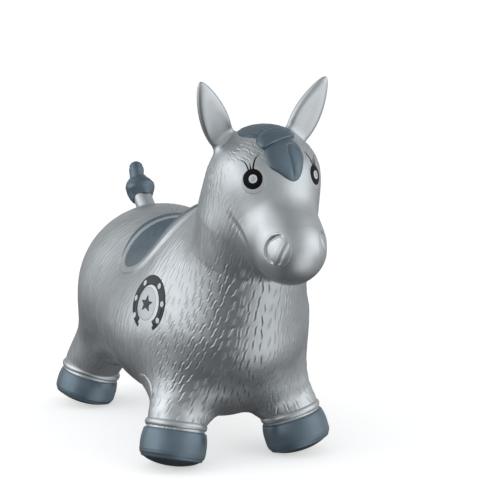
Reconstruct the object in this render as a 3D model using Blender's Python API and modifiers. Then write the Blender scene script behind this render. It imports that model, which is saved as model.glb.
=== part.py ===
"""Inflatable bouncy horse: one hollow moulded skin with a plug valve in its belly.

The horse faces -Y and stands on Z = 0; its own right side is at -X.  Lengths are metres.
The skin is one moulding on the real toy.  Here it is divided, with narrow joints, into the
body, neck, head, legs, hooves, ears and tail, and its raised and painted areas are thin
mouldings of their own that follow the skin.
"""
import math

import bmesh
import bpy
import numpy as np
from mathutils import Matrix, Vector

# Walls and joints
WALL = 0.0022
JOINT_GAP = 0.0003
FACET = 0.0225
OVERRUN = 0.02

# Barrel of the body: three lobes on the middle plane
RUMP_AT = (0.0, 0.158, 0.176)
RUMP_RADII = (0.117, 0.127, 0.121)
BELLY_AT = (0.0, 0.0225, 0.163)
BELLY_RADII = (0.1345, 0.148, 0.108)
CHEST_AT = (0.0, -0.046, 0.190)
CHEST_RADII = (0.105, 0.099, 0.131)
BARREL_BLEND = 0.046

# Neck, skull and muzzle
NECK_BASE_AT = (0.0, -0.1325, 0.275)
NECK_BASE_RADIUS = 0.076
NECK_TOP_AT = (0.0, -0.154, 0.3285)
NECK_TOP_RADIUS = 0.0745
NECK_BLEND = 0.044
SKULL_AT = (0.0, -0.176, 0.383)
SKULL_RADII = (0.066, 0.0685, 0.0525)
MUZZLE_AT = (0.0, -0.2485, 0.3065)
MUZZLE_RADII = (0.0385, 0.046, 0.0415)
FACE_TOP_RADIUS = 0.0563
FACE_END_RADIUS = 0.0375
FACE_BLEND = 0.0255
HEAD_BLEND = 0.026

# Legs, given for the left side; the right side is its mirror image
FRONT_LEG_ROOT_AT = (0.0505, -0.076, 0.1005)
FRONT_LEG_ROOT_RADIUS = 0.036
FRONT_ANKLE_RADIUS = 0.037
REAR_LEG_ROOT_AT = (0.0560, 0.1545, 0.170)
REAR_LEG_ROOT_RADIUS = 0.044
REAR_ANKLE_RADIUS = 0.038
ANKLE_LENGTH = 0.018
LEG_BLEND = 0.050
LEG_BLEND_RISE = 0.038

# Hooves: where they stand, how they tilt outward and rake back, and their profile
FRONT_HOOF_AT = (0.0863, -0.087, 0.0)
FRONT_HOOF_TILT = math.radians(8.0)
FRONT_HOOF_RAKE = math.radians(10.0)
REAR_HOOF_AT = (0.079, 0.2550, 0.0)
REAR_HOOF_TILT = math.radians(10.0)
REAR_HOOF_RAKE = 0.0
HOOF_TOP_RADIUS = 0.0375
HOOF_WALL_RADIUS = 0.0405
HOOF_BEAD_RADIUS = 0.0418
HOOF_SOLE_RADIUS = 0.0320
HOOF_SHOULDER_DROP = 0.003
HOOF_BEAD_DROP = 0.0265
HOOF_BEAD_HALF_WIDTH = 0.002
HOOF_SOLE_DROP = 0.0378
HOOF_HEIGHT = 0.0435
HOOF_WALL = 0.0035
SOLE_FLAT_DEPTH = 0.002
HOOF_STEPS = 24

# Rolled cuff on the leg above each hoof
CUFF_RING_RADIUS = 0.0360
CUFF_ROLL_RADIUS = 0.0050
CUFF_DROP = -0.0035
CUFF_ROLL_STEPS = 8

# Joints between the mouldings of the skin
NECK_JOINT_AT = (0.0, -0.030, 0.300)
NECK_JOINT_FACES = (0.0, -0.43, 0.90)
HEAD_JOINT_AT = (0.0, -0.195, 0.275)
HEAD_JOINT_FACES = (0.0, -0.78, 0.62)
LEG_CUTTER_RADIUS = 0.065
LEG_CUTTER_STEPS = 40
FRONT_LEG_LENGTH = 0.040
FRONT_LEG_LEAN = math.radians(30.0)
FRONT_LEG_REACH = math.radians(-20.0)
REAR_LEG_LENGTH = 0.030
REAR_LEG_LEAN = math.radians(20.0)
REAR_LEG_REACH = math.radians(20.0)

# Ears: leaf shaped, with a long groove down the front
EAR_ROOT_AT = (0.0425, -0.158, 0.412)
EAR_TIP_AT = (0.0837, -0.174, 0.500)
EAR_HALF_WIDTH = 0.0203
EAR_HALF_DEPTH = 0.0115
EAR_GROOVE_HALF_WIDTH = 0.0125
EAR_GROOVE_DEPTH = 0.0060
EAR_TAPER_SHARE = 0.42
EAR_GROOVE_END_SHARE = 0.08

# Tail: a short stalk, then a tuft that swells, turns upward and ends in a rounded tip
TAIL_ROOT_AT = (0.0, 0.2035, 0.268)
TAIL_STALK_RADIUS = 0.0135
TUFT_BASE_AT = (0.0, 0.2395, 0.2955)
TUFT_MIDDLE_AT = (0.0, 0.2545, 0.3090)
TAIL_TIP_AT = (0.0, 0.2660, 0.3430)
TUFT_RADIUS = 0.0207
TUFT_RADIUS_SHARES = [
    (0.0, 0.72), (0.12, 0.87), (0.26, 0.98), (0.38, 1.0), (0.50, 0.86), (0.62, 0.62),
    (0.72, 0.51), (0.84, 0.51), (0.93, 0.40), (0.98, 0.22),
]

# Saddle patch: a thin pad with a raised edge line, draped over the back
SADDLE_THICKNESS = 0.0016
SADDLE_EDGE_HEIGHT = 0.0026
SADDLE_EDGE_WIDTH = 0.0035
SADDLE_HALF_WIDTH = 0.105
SADDLE_WIDEST_AT = (0.0, 0.028, RUMP_AT[2])
SADDLE_REAR_LENGTH = 0.082
SADDLE_FRONT_LENGTH = 0.094
SADDLE_REAR_ROUNDNESS_SHARE = 0.72
SADDLE_FRONT_ROUNDNESS_SHARE = 0.8

# Face: eyes, nostrils and forelock
EYE_AT = (0.0412, -0.2325, 0.3885)
EYE_RADIUS = 0.0118
EYE_THICKNESS = 0.0010
NOSTRIL_AT = (0.0332, -0.280, 0.3107)
NOSTRIL_HALF_WIDTH = 0.0130
NOSTRIL_HALF_HEIGHT = 0.0160
NOSTRIL_RIM_WIDTH = 0.0040
NOSTRIL_RIM_HEIGHT = 0.0022
FORELOCK_TOP_AT = (0.0, -0.190, 0.440)
FORELOCK_TIP_AT = (0.0036, -0.2494, 0.3858)
FORELOCK_HALF_WIDTH = 0.026
FORELOCK_POINT_SHARE = 0.75
FORELOCK_FULLNESS_SHARE = 0.8
FORELOCK_THICKNESS = 0.0040
MANE_TOP_AT = (0.0, -0.182, 0.437)
MANE_END_AT = (0.0, -0.070, 0.335)
MANE_HALF_WIDTH = 0.021
MANE_THICKNESS = 0.0045

# Horseshoe and star on each flank
BADGE_AT = (0.108, -0.060, 0.209)
SHOE_HALF_WIDTH = 0.030
SHOE_HALF_HEIGHT = 0.0355
SHOE_BAND_WIDTH = 0.0115
SHOE_OPENING_ANGLE = math.radians(60.0)
STAR_RADIUS = 0.0120
STAR_INNER_SHARE = 0.45
BADGE_THICKNESS = 0.0010

# Valve in the belly: raised patch, seat and push-in plug
VALVE_PATCH_RADIUS = 0.026
VALVE_PATCH_THICKNESS = 0.0020
SEAT_FLANGE_RADIUS = 0.0130
SEAT_FLANGE_THICKNESS = 0.0015
SEAT_COLLAR_RADIUS = 0.0090
SEAT_BORE_RADIUS = 0.0055
SEAT_LENGTH = 0.011
PLUG_CLEARANCE = 0.0004
PLUG_HEAD_RADIUS = 0.0100
PLUG_HEAD_THICKNESS = 0.0028
PLUG_STEM_LENGTH = 0.016
PLUG_GROOVE_DEPTH = 0.0008
PLUG_TIP_RADIUS = 0.0036
PLUG_TIP_SHARE = 0.75
PLUG_GROOVE_SHARES = [(0.6, 0.0), (0.5, 1.0), (0.4, 1.0), (0.3, 0.0)]
PLUG_EDGE_SHARE = 0.85
VALVE_STEPS = 20

# Counts that only set how fine the mouldings are
RELAX_ROUNDS = 6
SETTLE_STEPS = 5
OUTLINE_STEPS = 26
ROD_BALLS = 5
BELLY_SAMPLES = 60
LEAST_SLOPE_SHARE = 0.25
LEAST_BLEND_SHARE = 0.15
SLOPE_STEP_SHARE = 0.1
MERGE_DISTANCE = 0.00001

MIRROR = np.array([-1.0, 1.0, 1.0])
DOWN = Vector((0.0, 0.0, -1.0))

def clear_scene():
    for thing in list(bpy.data.objects):
        bpy.data.objects.remove(thing, do_unlink=True)


def collection(name):
    group = bpy.data.collections.new(name)
    bpy.context.scene.collection.children.link(group)
    return group


clear_scene()
PARTS = collection("bouncy_horse")
GUIDES = collection("cutters_and_guides")


def material(name, colour, roughness, metallic):
    made = bpy.data.materials.new(name)
    made.use_nodes = True
    shader = made.node_tree.nodes["Principled BSDF"]
    shader.inputs["Base Color"].default_value = (*colour, 1.0)
    shader.inputs["Roughness"].default_value = roughness
    shader.inputs["Metallic"].default_value = metallic
    return made


SILVER = material("silver_skin", (0.47, 0.50, 0.53), 0.35, 0.6)
SLATE = material("slate_paint", (0.10, 0.13, 0.16), 0.35, 0.1)
DARK = material("dark_print", (0.03, 0.04, 0.05), 0.4, 0.0)
BLACK = material("eye_black", (0.004, 0.004, 0.005), 0.12, 0.0)
PLUG = material("plug_white", (0.75, 0.75, 0.73), 0.4, 0.0)


def add_object(name, mesh, paint):
    piece = bpy.data.objects.new(name, mesh)
    PARTS.objects.link(piece)
    piece.data.materials.clear()
    piece.data.materials.append(paint)
    return piece


def add_guide(name, mesh):
    guide = bpy.data.objects.new(name, mesh)
    GUIDES.objects.link(guide)
    guide.hide_render = True
    guide.display_type = 'WIRE'
    return guide


def mesh_from(build):
    """A mesh that the function build fills through bmesh."""
    form = bmesh.new()
    build(form)
    mesh = bpy.data.meshes.new("form")
    form.to_mesh(mesh)
    form.free()
    return mesh


def carve(piece, cutter, operation):
    change = piece.modifiers.new(operation.lower(), 'BOOLEAN')
    change.operation = operation
    change.object = cutter
    return change


def evaluated_mesh(thing):
    depsgraph = bpy.context.evaluated_depsgraph_get()
    return bpy.data.meshes.new_from_object(thing.evaluated_get(depsgraph))


# Distances to the lobes, negative inside

def ellipsoid_distance(points, centre, radii):
    offset = points - np.array(centre)
    radii = np.array(radii)
    outward = np.linalg.norm(offset / radii, axis=1)
    slope = np.linalg.norm(offset / radii ** 2, axis=1)
    return outward * (outward - 1.0) / np.maximum(slope, 1e-9)


def rod_distance(points, start, end, start_radius, end_radius):
    start = np.array(start)
    along = np.array(end) - start
    share = np.clip((points - start) @ along / (along @ along), 0.0, 1.0)
    nearest = start + share[:, None] * along
    return np.linalg.norm(points - nearest, axis=1) - start_radius - share * (end_radius - start_radius)


def blended(first, second, reach):
    share = np.clip(0.5 + 0.5 * (second - first) / reach, 0.0, 1.0)
    return second * (1.0 - share) + first * share - reach * share * (1.0 - share)


def hoof_axis(tilt, rake):
    """Unit vector down the axis of a left hoof."""
    return -Vector((-math.tan(tilt), math.tan(rake), 1.0)).normalized()


def hoof_outline():
    """Outside of a hoof as (radius, drop below its top)."""
    return [
        (HOOF_TOP_RADIUS, 0.0),
        (HOOF_WALL_RADIUS, HOOF_SHOULDER_DROP),
        (HOOF_WALL_RADIUS, HOOF_BEAD_DROP - 2.0 * HOOF_BEAD_HALF_WIDTH),
        (HOOF_BEAD_RADIUS, HOOF_BEAD_DROP - HOOF_BEAD_HALF_WIDTH),
        (HOOF_BEAD_RADIUS, HOOF_BEAD_DROP + HOOF_BEAD_HALF_WIDTH),
        (HOOF_SOLE_RADIUS, HOOF_SOLE_DROP),
        (HOOF_SOLE_RADIUS / 2.0, HOOF_HEIGHT - (HOOF_HEIGHT - HOOF_SOLE_DROP) / 4.0),
        (0.0, HOOF_HEIGHT),
    ]


def hoof_top(floor_point, axis):
    """Centre of a hoof's top ring over floor_point, set so that its sole is cut by the floor."""
    lean = axis.angle(DOWN)
    lowest = max(drop * math.cos(lean) + radius * math.sin(lean) for radius, drop in hoof_outline())
    return Vector(floor_point) - DOWN * (lowest - SOLE_FLAT_DEPTH)


FRONT_HOOF_AXIS = hoof_axis(FRONT_HOOF_TILT, FRONT_HOOF_RAKE)
REAR_HOOF_AXIS = hoof_axis(REAR_HOOF_TILT, REAR_HOOF_RAKE)
FRONT_HOOF_TOP = hoof_top(FRONT_HOOF_AT, FRONT_HOOF_AXIS)
REAR_HOOF_TOP = hoof_top(REAR_HOOF_AT, REAR_HOOF_AXIS)
FRONT_ANKLE_TOP = FRONT_HOOF_TOP - FRONT_HOOF_AXIS * ANKLE_LENGTH
REAR_ANKLE_TOP = REAR_HOOF_TOP - REAR_HOOF_AXIS * ANKLE_LENGTH

ELLIPSOIDS = {
    "rump": (RUMP_AT, RUMP_RADII),
    "belly": (BELLY_AT, BELLY_RADII),
    "chest": (CHEST_AT, CHEST_RADII),
    "skull": (SKULL_AT, SKULL_RADII),
    "muzzle": (MUZZLE_AT, MUZZLE_RADII),
}
RODS = {
    "neck": (NECK_BASE_AT, NECK_TOP_AT, NECK_BASE_RADIUS, NECK_TOP_RADIUS),
    "face": (SKULL_AT, MUZZLE_AT, FACE_TOP_RADIUS, FACE_END_RADIUS),
    "front_leg": (FRONT_LEG_ROOT_AT, FRONT_ANKLE_TOP, FRONT_LEG_ROOT_RADIUS, FRONT_ANKLE_RADIUS),
    "front_ankle": (FRONT_ANKLE_TOP, FRONT_HOOF_TOP, FRONT_ANKLE_RADIUS, FRONT_ANKLE_RADIUS),
    "rear_leg": (REAR_LEG_ROOT_AT, REAR_ANKLE_TOP, REAR_LEG_ROOT_RADIUS, REAR_ANKLE_RADIUS),
    "rear_ankle": (REAR_ANKLE_TOP, REAR_HOOF_TOP, REAR_ANKLE_RADIUS, REAR_ANKLE_RADIUS),
}


def skin_distance(points):
    """Distance of points from the outside of the moulded skin."""
    folded = np.array(points, dtype=float)
    folded[:, 0] = np.abs(folded[:, 0])
    near = {name: ellipsoid_distance(folded, *shape) for name, shape in ELLIPSOIDS.items()}
    near.update({name: rod_distance(folded, *shape) for name, shape in RODS.items()})
    barrel = blended(near["rump"], near["belly"], BARREL_BLEND)
    barrel = blended(barrel, near["chest"], BARREL_BLEND)
    body = blended(barrel, near["neck"], NECK_BLEND)
    rise = (folded[:, 2] - FRONT_HOOF_TOP.z) / LEG_BLEND_RISE
    leg_blend = LEG_BLEND * np.clip(rise, LEAST_BLEND_SHARE, 1.0)
    for end in ("front", "rear"):
        leg = np.minimum(near[f"{end}_leg"], near[f"{end}_ankle"])
        body = blended(body, leg, leg_blend)
    head = blended(near["skull"], near["face"], FACE_BLEND)
    head = blended(head, near["muzzle"], FACE_BLEND)
    return blended(body, head, HEAD_BLEND)


def skin_slope(points):
    """Gradient of the distance, by central differences over a small part of the wall."""
    step = WALL * SLOPE_STEP_SHARE
    slope = np.empty_like(points)
    for axis in range(3):
        shift = np.zeros(3)
        shift[axis] = step
        slope[:, axis] = (skin_distance(points + shift) - skin_distance(points - shift)) / (2.0 * step)
    return slope


def settled(points):
    """Points moved along the slope onto the skin."""
    for _ in range(SETTLE_STEPS):
        slope = skin_slope(points)
        move = skin_distance(points) / np.maximum((slope ** 2).sum(axis=1), LEAST_SLOPE_SHARE)
        move = np.clip(move, -FACET, FACET)
        points = points - move[:, None] * slope
    return points


def on_skin(point):
    """The point of the skin nearest to point, and the outward direction there."""
    place = settled(np.array([point], dtype=float))
    outward = Vector(skin_slope(place)[0]).normalized()
    return Vector(place[0]), outward


def add_ball(form, centre, radii):
    place = Matrix.Translation(centre) @ Matrix.Diagonal((*radii, 1.0))
    bmesh.ops.create_uvsphere(form, u_segments=24, v_segments=16, radius=1.0, matrix=place)


def lobe_balls(form):
    """Plain balls of every lobe."""
    for centre, radii in ELLIPSOIDS.values():
        add_ball(form, centre, radii)
    for start, end, start_radius, end_radius in RODS.values():
        for index in range(ROD_BALLS):
            share = index / (ROD_BALLS - 1)
            centre = Vector(start).lerp(Vector(end), share)
            radius = start_radius + share * (end_radius - start_radius)
            add_ball(form, centre, (radius, radius, radius))
            if centre.x > 0.0:
                add_ball(form, centre * Vector(MIRROR), (radius, radius, radius))


def moulded_surface():
    """Closed mesh of the blended lobes, the same on both sides."""
    rough = add_guide("rough_lobes", mesh_from(lobe_balls))
    remesh = rough.modifiers.new("remesh", 'REMESH')
    remesh.mode = 'VOXEL'
    remesh.voxel_size = FACET
    surface = evaluated_mesh(rough)
    bpy.data.objects.remove(rough, do_unlink=True)
    count = len(surface.vertices)
    points = np.empty(3 * count)
    surface.vertices.foreach_get("co", points)
    points = points.reshape(count, 3)
    edges = np.array([edge.vertices[:] for edge in surface.edges])
    valence = np.bincount(edges.ravel(), minlength=count)[:, None]
    for _ in range(RELAX_ROUNDS):
        points = settled(points)
        total = np.zeros_like(points)
        np.add.at(total, edges[:, 0], points[edges[:, 1]])
        np.add.at(total, edges[:, 1], points[edges[:, 0]])
        points = (points + total / valence) / 2.0
    points = settled(points)
    surface.vertices.foreach_set("co", points.ravel())
    halved = add_guide("halved_lobes", surface)
    mirror = halved.modifiers.new("mirror", 'MIRROR')
    mirror.use_bisect_axis[0] = True
    mirror.use_mirror_merge = True
    mirror.merge_threshold = JOINT_GAP / 3.0
    halved.modifiers.new("triangles", 'TRIANGULATE')
    whole = evaluated_mesh(halved)
    bpy.data.objects.remove(halved, do_unlink=True)
    return whole


def raised_copy(surface, height):
    """Copy of the skin's mesh with every vertex raised along the slope by height."""
    copy = surface.copy()
    count = len(copy.vertices)
    points = np.empty(3 * count)
    copy.vertices.foreach_get("co", points)
    points = points.reshape(count, 3)
    slope = skin_slope(points)
    points += height * slope / np.linalg.norm(slope, axis=1)[:, None]
    copy.vertices.foreach_set("co", points.ravel())
    return copy


SKIN = moulded_surface()
CAVITY = add_guide("cavity", raised_copy(SKIN, -WALL))
CLEAR_SKIN = add_guide("skin_with_gap", raised_copy(SKIN, JOINT_GAP))


def block_beyond(name, point, faces, setback):
    """Block that fills everything beyond the plane through point, starting setback further."""
    faces = Vector(faces).normalized()
    size = 4.0 * (RUMP_AT[1] - MUZZLE_AT[1])
    centre = Vector(point) + faces * (setback + size / 2.0)
    place = Matrix.Translation(centre) @ faces.to_track_quat('Z', 'Y').to_matrix().to_4x4()
    return add_guide(name, mesh_from(lambda form: bmesh.ops.create_cube(form, size=size, matrix=place)))


def leg_direction(lean, reach):
    return Vector((math.sin(lean), math.sin(reach) * math.cos(lean), -math.cos(lean))).normalized()


def drum(name, top, direction, radius, length, steps):
    """Closed drum from top along direction."""
    turn = direction.to_track_quat('Z', 'Y').to_matrix().to_4x4()
    place = Matrix.Translation(top + direction * (length / 2.0)) @ turn
    return add_guide(name, mesh_from(lambda form: bmesh.ops.create_cone(
        form, cap_ends=True, segments=steps, radius1=radius, radius2=radius, depth=length, matrix=place)))


def mirrored(vector, side):
    return Vector((side * vector[0], vector[1], vector[2]))


LEGS = {
    "front": (FRONT_HOOF_TOP, FRONT_HOOF_AXIS, FRONT_LEG_LENGTH,
              leg_direction(FRONT_LEG_LEAN, FRONT_LEG_REACH)),
    "rear": (REAR_HOOF_TOP, REAR_HOOF_AXIS, REAR_LEG_LENGTH,
             leg_direction(REAR_LEG_LEAN, REAR_LEG_REACH)),
}
SIDES = {"right": -1.0, "left": 1.0}


def leg_drum(name, end, side, setback):
    """Drum round one leg, whose top starts the leg, setback further down it."""
    hoof_centre, _, length, direction = LEGS[end]
    direction = mirrored(direction, side)
    top = mirrored(hoof_centre, side) - direction * (length - setback)
    return drum(name, top, direction, LEG_CUTTER_RADIUS, length + 2.0 * HOOF_HEIGHT, LEG_CUTTER_STEPS)


def turned_mesh(profile, steps):
    """Solid turned about Z from (radius, height) points, from the top down the outside."""
    mesh = mesh_from(lambda form: draw_profile(form, profile))
    spun = add_guide("spun", mesh)
    screw = spun.modifiers.new("screw", 'SCREW')
    screw.steps = steps
    screw.render_steps = steps
    screw.use_merge_vertices = True
    screw.merge_threshold = MERGE_DISTANCE
    solid = evaluated_mesh(spun)
    bpy.data.objects.remove(spun, do_unlink=True)
    return solid


def draw_profile(form, profile):
    points = [form.verts.new((radius, 0.0, height)) for radius, height in profile]
    for first, second in zip(points, points[1:]):
        form.edges.new((first, second))
    closes = profile[0][0] > 0.0 and profile[-1][0] > 0.0
    if closes:
        form.edges.new((points[-1], points[0]))


def aim(piece, centre, axis):
    """Places a turned piece with its top at centre and its -Z along axis."""
    piece.matrix_world = Matrix.Translation(centre) @ axis.to_track_quat('-Z', 'Y').to_matrix().to_4x4()


def make_torso():
    torso = add_object("torso", SKIN.copy(), SILVER)
    carve(torso, block_beyond("above_neck_joint", NECK_JOINT_AT, NECK_JOINT_FACES, -JOINT_GAP / 2.0),
          'DIFFERENCE')
    for end in LEGS:
        for side_name, side in SIDES.items():
            cutter = leg_drum(f"leg_room_{end}_{side_name}", end, side, -JOINT_GAP / 2.0)
            carve(torso, cutter, 'DIFFERENCE')
    carve(torso, CAVITY, 'DIFFERENCE')
    carve(torso, drum("seat_hole", belly_bottom() - DOWN * SEAT_LENGTH, DOWN,
                      SEAT_COLLAR_RADIUS + JOINT_GAP, 2.0 * SEAT_LENGTH, VALVE_STEPS), 'DIFFERENCE')


def make_neck():
    neck = add_object("neck", SKIN.copy(), SILVER)
    carve(neck, block_beyond("neck_room", NECK_JOINT_AT, NECK_JOINT_FACES, JOINT_GAP / 2.0), 'INTERSECT')
    carve(neck, block_beyond("beyond_head_joint", HEAD_JOINT_AT, HEAD_JOINT_FACES, -JOINT_GAP / 2.0),
          'DIFFERENCE')
    carve(neck, CAVITY, 'DIFFERENCE')


def make_head():
    head = add_object("head", SKIN.copy(), SILVER)
    carve(head, block_beyond("head_room", HEAD_JOINT_AT, HEAD_JOINT_FACES, JOINT_GAP / 2.0), 'INTERSECT')
    carve(head, CAVITY, 'DIFFERENCE')


def cuff_mesh():
    """Closed ring with a round section."""
    ring = []
    for index in range(CUFF_ROLL_STEPS):
        angle = math.pi / 2.0 - 2.0 * math.pi * index / CUFF_ROLL_STEPS
        radius = CUFF_RING_RADIUS + CUFF_ROLL_RADIUS * math.cos(angle)
        ring.append((radius, CUFF_ROLL_RADIUS * math.sin(angle) - CUFF_DROP))
    return turned_mesh(ring, HOOF_STEPS)


def make_leg(end, side_name, side):
    hoof_centre, axis, _, _ = LEGS[end]
    leg = add_object(f"leg_{end}_{side_name}", SKIN.copy(), SILVER)
    carve(leg, leg_drum(f"leg_reach_{end}_{side_name}", end, side, JOINT_GAP / 2.0), 'INTERSECT')
    carve(leg, CAVITY, 'DIFFERENCE')
    cuff = add_guide(f"cuff_{end}_{side_name}", cuff_mesh())
    aim(cuff, mirrored(hoof_centre, side), mirrored(axis, side))
    carve(leg, cuff, 'UNION')
    below = block_beyond(f"below_leg_{end}_{side_name}", mirrored(hoof_centre, side),
                         mirrored(axis, side), -JOINT_GAP)
    carve(leg, below, 'DIFFERENCE')


def hoof_mesh():
    """Cup with a beaded wall and a domed sole."""
    outside = hoof_outline()
    inside = [
        (0.0, HOOF_HEIGHT - HOOF_WALL),
        (HOOF_SOLE_RADIUS - HOOF_WALL, HOOF_SOLE_DROP - HOOF_WALL),
        (HOOF_WALL_RADIUS - HOOF_WALL, HOOF_BEAD_DROP - HOOF_BEAD_HALF_WIDTH),
        (HOOF_TOP_RADIUS - HOOF_WALL, 0.0),
    ]
    profile = [(radius, -drop) for radius, drop in outside + inside]
    return turned_mesh(profile + profile[:1], HOOF_STEPS)


def make_hoof(end, side_name, side, floor):
    hoof_centre, axis, _, _ = LEGS[end]
    hoof = add_object(f"hoof_{end}_{side_name}", hoof_mesh(), SLATE)
    aim(hoof, mirrored(hoof_centre, side), mirrored(axis, side))
    carve(hoof, floor, 'DIFFERENCE')


def leaf_mesh(root, tip, half_width, half_depth):
    """Leaf between root and tip: widest below the middle, narrow at the tip, thin front to back."""
    root = Vector(root)
    tip = Vector(tip)
    along = (tip - root).normalized()
    across = along.cross(Vector((0.0, -1.0, 0.0))).normalized()
    backward = along.cross(across)
    length = (tip - root).length

    def build(form):
        bmesh.ops.create_uvsphere(form, u_segments=20, v_segments=14, radius=1.0)
        for vertex in form.verts:
            share = (vertex.co.z + 1.0) / 2.0
            narrow = 1.0 - EAR_TAPER_SHARE * share ** 2
            place = root + along * (length * share)
            place += across * (vertex.co.x * half_width * narrow)
            place += backward * (vertex.co.y * half_depth * narrow)
            vertex.co = place
    return mesh_from(build), -backward


def make_ear(side_name, side):
    root = mirrored(EAR_ROOT_AT, side)
    tip = mirrored(EAR_TIP_AT, side)
    mesh, front = leaf_mesh(root, tip, EAR_HALF_WIDTH, EAR_HALF_DEPTH)
    ear = add_object(f"ear_{side_name}", mesh, SILVER)
    shift = front * EAR_HALF_DEPTH
    inner_tip = tip.lerp(root, EAR_GROOVE_END_SHARE)
    groove, _ = leaf_mesh(root + shift, inner_tip + shift, EAR_GROOVE_HALF_WIDTH, EAR_GROOVE_DEPTH)
    carve(ear, add_guide(f"ear_groove_{side_name}", groove), 'DIFFERENCE')
    carve(ear, CLEAR_SKIN, 'DIFFERENCE')


def lofted_mesh(places, radii, steps):
    """Closed round form through places, whose rings stand square to its course."""
    def build(form):
        rings = []
        for index, (place, radius) in enumerate(zip(places, radii)):
            before = places[max(index - 1, 0)]
            after = places[min(index + 1, len(places) - 1)]
            course = (after - before).normalized()
            across = Vector((1.0, 0.0, 0.0))
            upright = course.cross(across)
            rings.append([form.verts.new(place + radius * (across * math.cos(angle) + upright * math.sin(angle)))
                          for angle in (2.0 * math.pi * step / steps for step in range(steps))])
        for lower, upper in zip(rings, rings[1:]):
            for step in range(steps):
                following = (step + 1) % steps
                form.faces.new((lower[step], lower[following], upper[following], upper[step]))
        form.faces.new(rings[0][::-1])
        form.faces.new(rings[-1])
    return mesh_from(build)


def tuft_place(share):
    """Point at a share of the way along the tuft's curved middle line."""
    first = Vector(TUFT_BASE_AT).lerp(Vector(TUFT_MIDDLE_AT), share)
    second = Vector(TUFT_MIDDLE_AT).lerp(Vector(TAIL_TIP_AT), share)
    return first.lerp(second, share)


def make_tail():
    root = Vector(TAIL_ROOT_AT)
    base = Vector(TUFT_BASE_AT)
    along = (tuft_place(TUFT_RADIUS_SHARES[1][0]) - base).normalized()
    places = [root, base - along * TAIL_STALK_RADIUS, base - along * JOINT_GAP]
    stalk = lofted_mesh(places, [TAIL_STALK_RADIUS] * len(places), HOOF_STEPS)
    carve(add_object("tail_stalk", stalk, SILVER), CLEAR_SKIN, 'DIFFERENCE')
    places = [tuft_place(share) for share, _ in TUFT_RADIUS_SHARES]
    radii = [TUFT_RADIUS * width for _, width in TUFT_RADIUS_SHARES]
    add_object("tail_tuft", lofted_mesh(places, radii, HOOF_STEPS), SLATE)


def outline_prism(name, outline, centre, outward, up, reach):
    """Closed prism of a flat outline of (across, up) points; reach is how deep it starts and ends."""
    outward = outward.normalized()
    across = up.cross(outward).normalized()
    upright = outward.cross(across)
    low, high = reach

    def build(form):
        ring = [form.verts.new(centre + across * a + upright * b + outward * low) for a, b in outline]
        face = form.faces.new(ring)
        grown = bmesh.ops.extrude_face_region(form, geom=[face])
        tops = [item for item in grown["geom"] if isinstance(item, bmesh.types.BMVert)]
        bmesh.ops.translate(form, verts=tops, vec=outward * (high - low))
        bmesh.ops.recalc_face_normals(form, faces=form.faces[:])
    return add_guide(name, mesh_from(build))


def skin_layer(name, prism, height, paint, hole=None):
    """Thin moulding of the given height that lies on the skin inside the prism, outside the hole."""
    layer = add_object(name, raised_copy(SKIN, JOINT_GAP + height), paint)
    carve(layer, prism, 'INTERSECT')
    if hole:
        carve(layer, hole, 'DIFFERENCE')
    carve(layer, CLEAR_SKIN, 'DIFFERENCE')


def outline_angles():
    """Angles round an outline, none of them on its middle line, where the skin has its own edge."""
    return [2.0 * math.pi * (index + 0.5) / OUTLINE_STEPS for index in range(OUTLINE_STEPS)]


def ellipse(half_width, half_height):
    return [(half_width * math.cos(angle), half_height * math.sin(angle)) for angle in outline_angles()]


def signed_power(value, power):
    return math.copysign(abs(value) ** power, value)


def saddle_outline(inset):
    """Patch seen from above: broad and squarish behind, an ellipse towards the neck."""
    points = []
    for angle in outline_angles():
        rear = math.sin(angle) > 0.0
        length = SADDLE_REAR_LENGTH if rear else SADDLE_FRONT_LENGTH
        roundness = SADDLE_REAR_ROUNDNESS_SHARE if rear else SADDLE_FRONT_ROUNDNESS_SHARE
        across = signed_power(math.cos(angle), roundness) * (SADDLE_HALF_WIDTH - inset)
        along = signed_power(math.sin(angle), roundness) * (length - inset)
        points.append((-across, along))
    return points


def make_saddle():
    centre = Vector(SADDLE_WIDEST_AT)
    backward = Vector((0.0, 1.0, 0.0))
    reach = (0.0, SKULL_AT[2] - RUMP_AT[2])
    outer = outline_prism("saddle_outline", saddle_outline(0.0), centre, -DOWN, backward, reach)
    inner = outline_prism("saddle_inside", saddle_outline(SADDLE_EDGE_WIDTH), centre, -DOWN, backward, reach)
    pad_inset = SADDLE_EDGE_WIDTH + JOINT_GAP
    pad_form = outline_prism("saddle_pad_form", saddle_outline(pad_inset), centre, -DOWN, backward, reach)
    skin_layer("saddle_pad", pad_form, SADDLE_THICKNESS, SLATE)
    skin_layer("saddle_edge", outer, SADDLE_EDGE_HEIGHT, SILVER, inner)


def leaf_outline(half_length, half_width, fullness):
    """Leaf with a pointed tip below and a rounded top; fullness under 1 makes its sides fuller."""
    points = []
    for angle in outline_angles():
        up = math.cos(angle)
        width = signed_power(math.sin(angle), fullness)
        if up < 0.0:
            width *= 1.0 + FORELOCK_POINT_SHARE * up
        points.append((-width * half_width, up * half_length))
    return points


def make_forelock():
    """Leaf of hair on the brow; returns the room that it takes, for the mane behind it."""
    tip, _ = on_skin(FORELOCK_TIP_AT)
    top, _ = on_skin(FORELOCK_TOP_AT)
    middle, outward = on_skin((tip + top) / 2.0)
    up = (top - tip).normalized()
    half_length = (top - tip).length / 2.0
    reach = (-FORELOCK_HALF_WIDTH, OVERRUN)
    outline = leaf_outline(half_length, FORELOCK_HALF_WIDTH, FORELOCK_FULLNESS_SHARE)
    form = outline_prism("forelock_outline", outline, middle, outward, up, reach)
    skin_layer("forelock", form, FORELOCK_THICKNESS, SLATE)
    outline = leaf_outline(half_length + JOINT_GAP, FORELOCK_HALF_WIDTH + JOINT_GAP, FORELOCK_FULLNESS_SHARE)
    return outline_prism("forelock_room", outline, middle, outward, up, reach)


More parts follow.
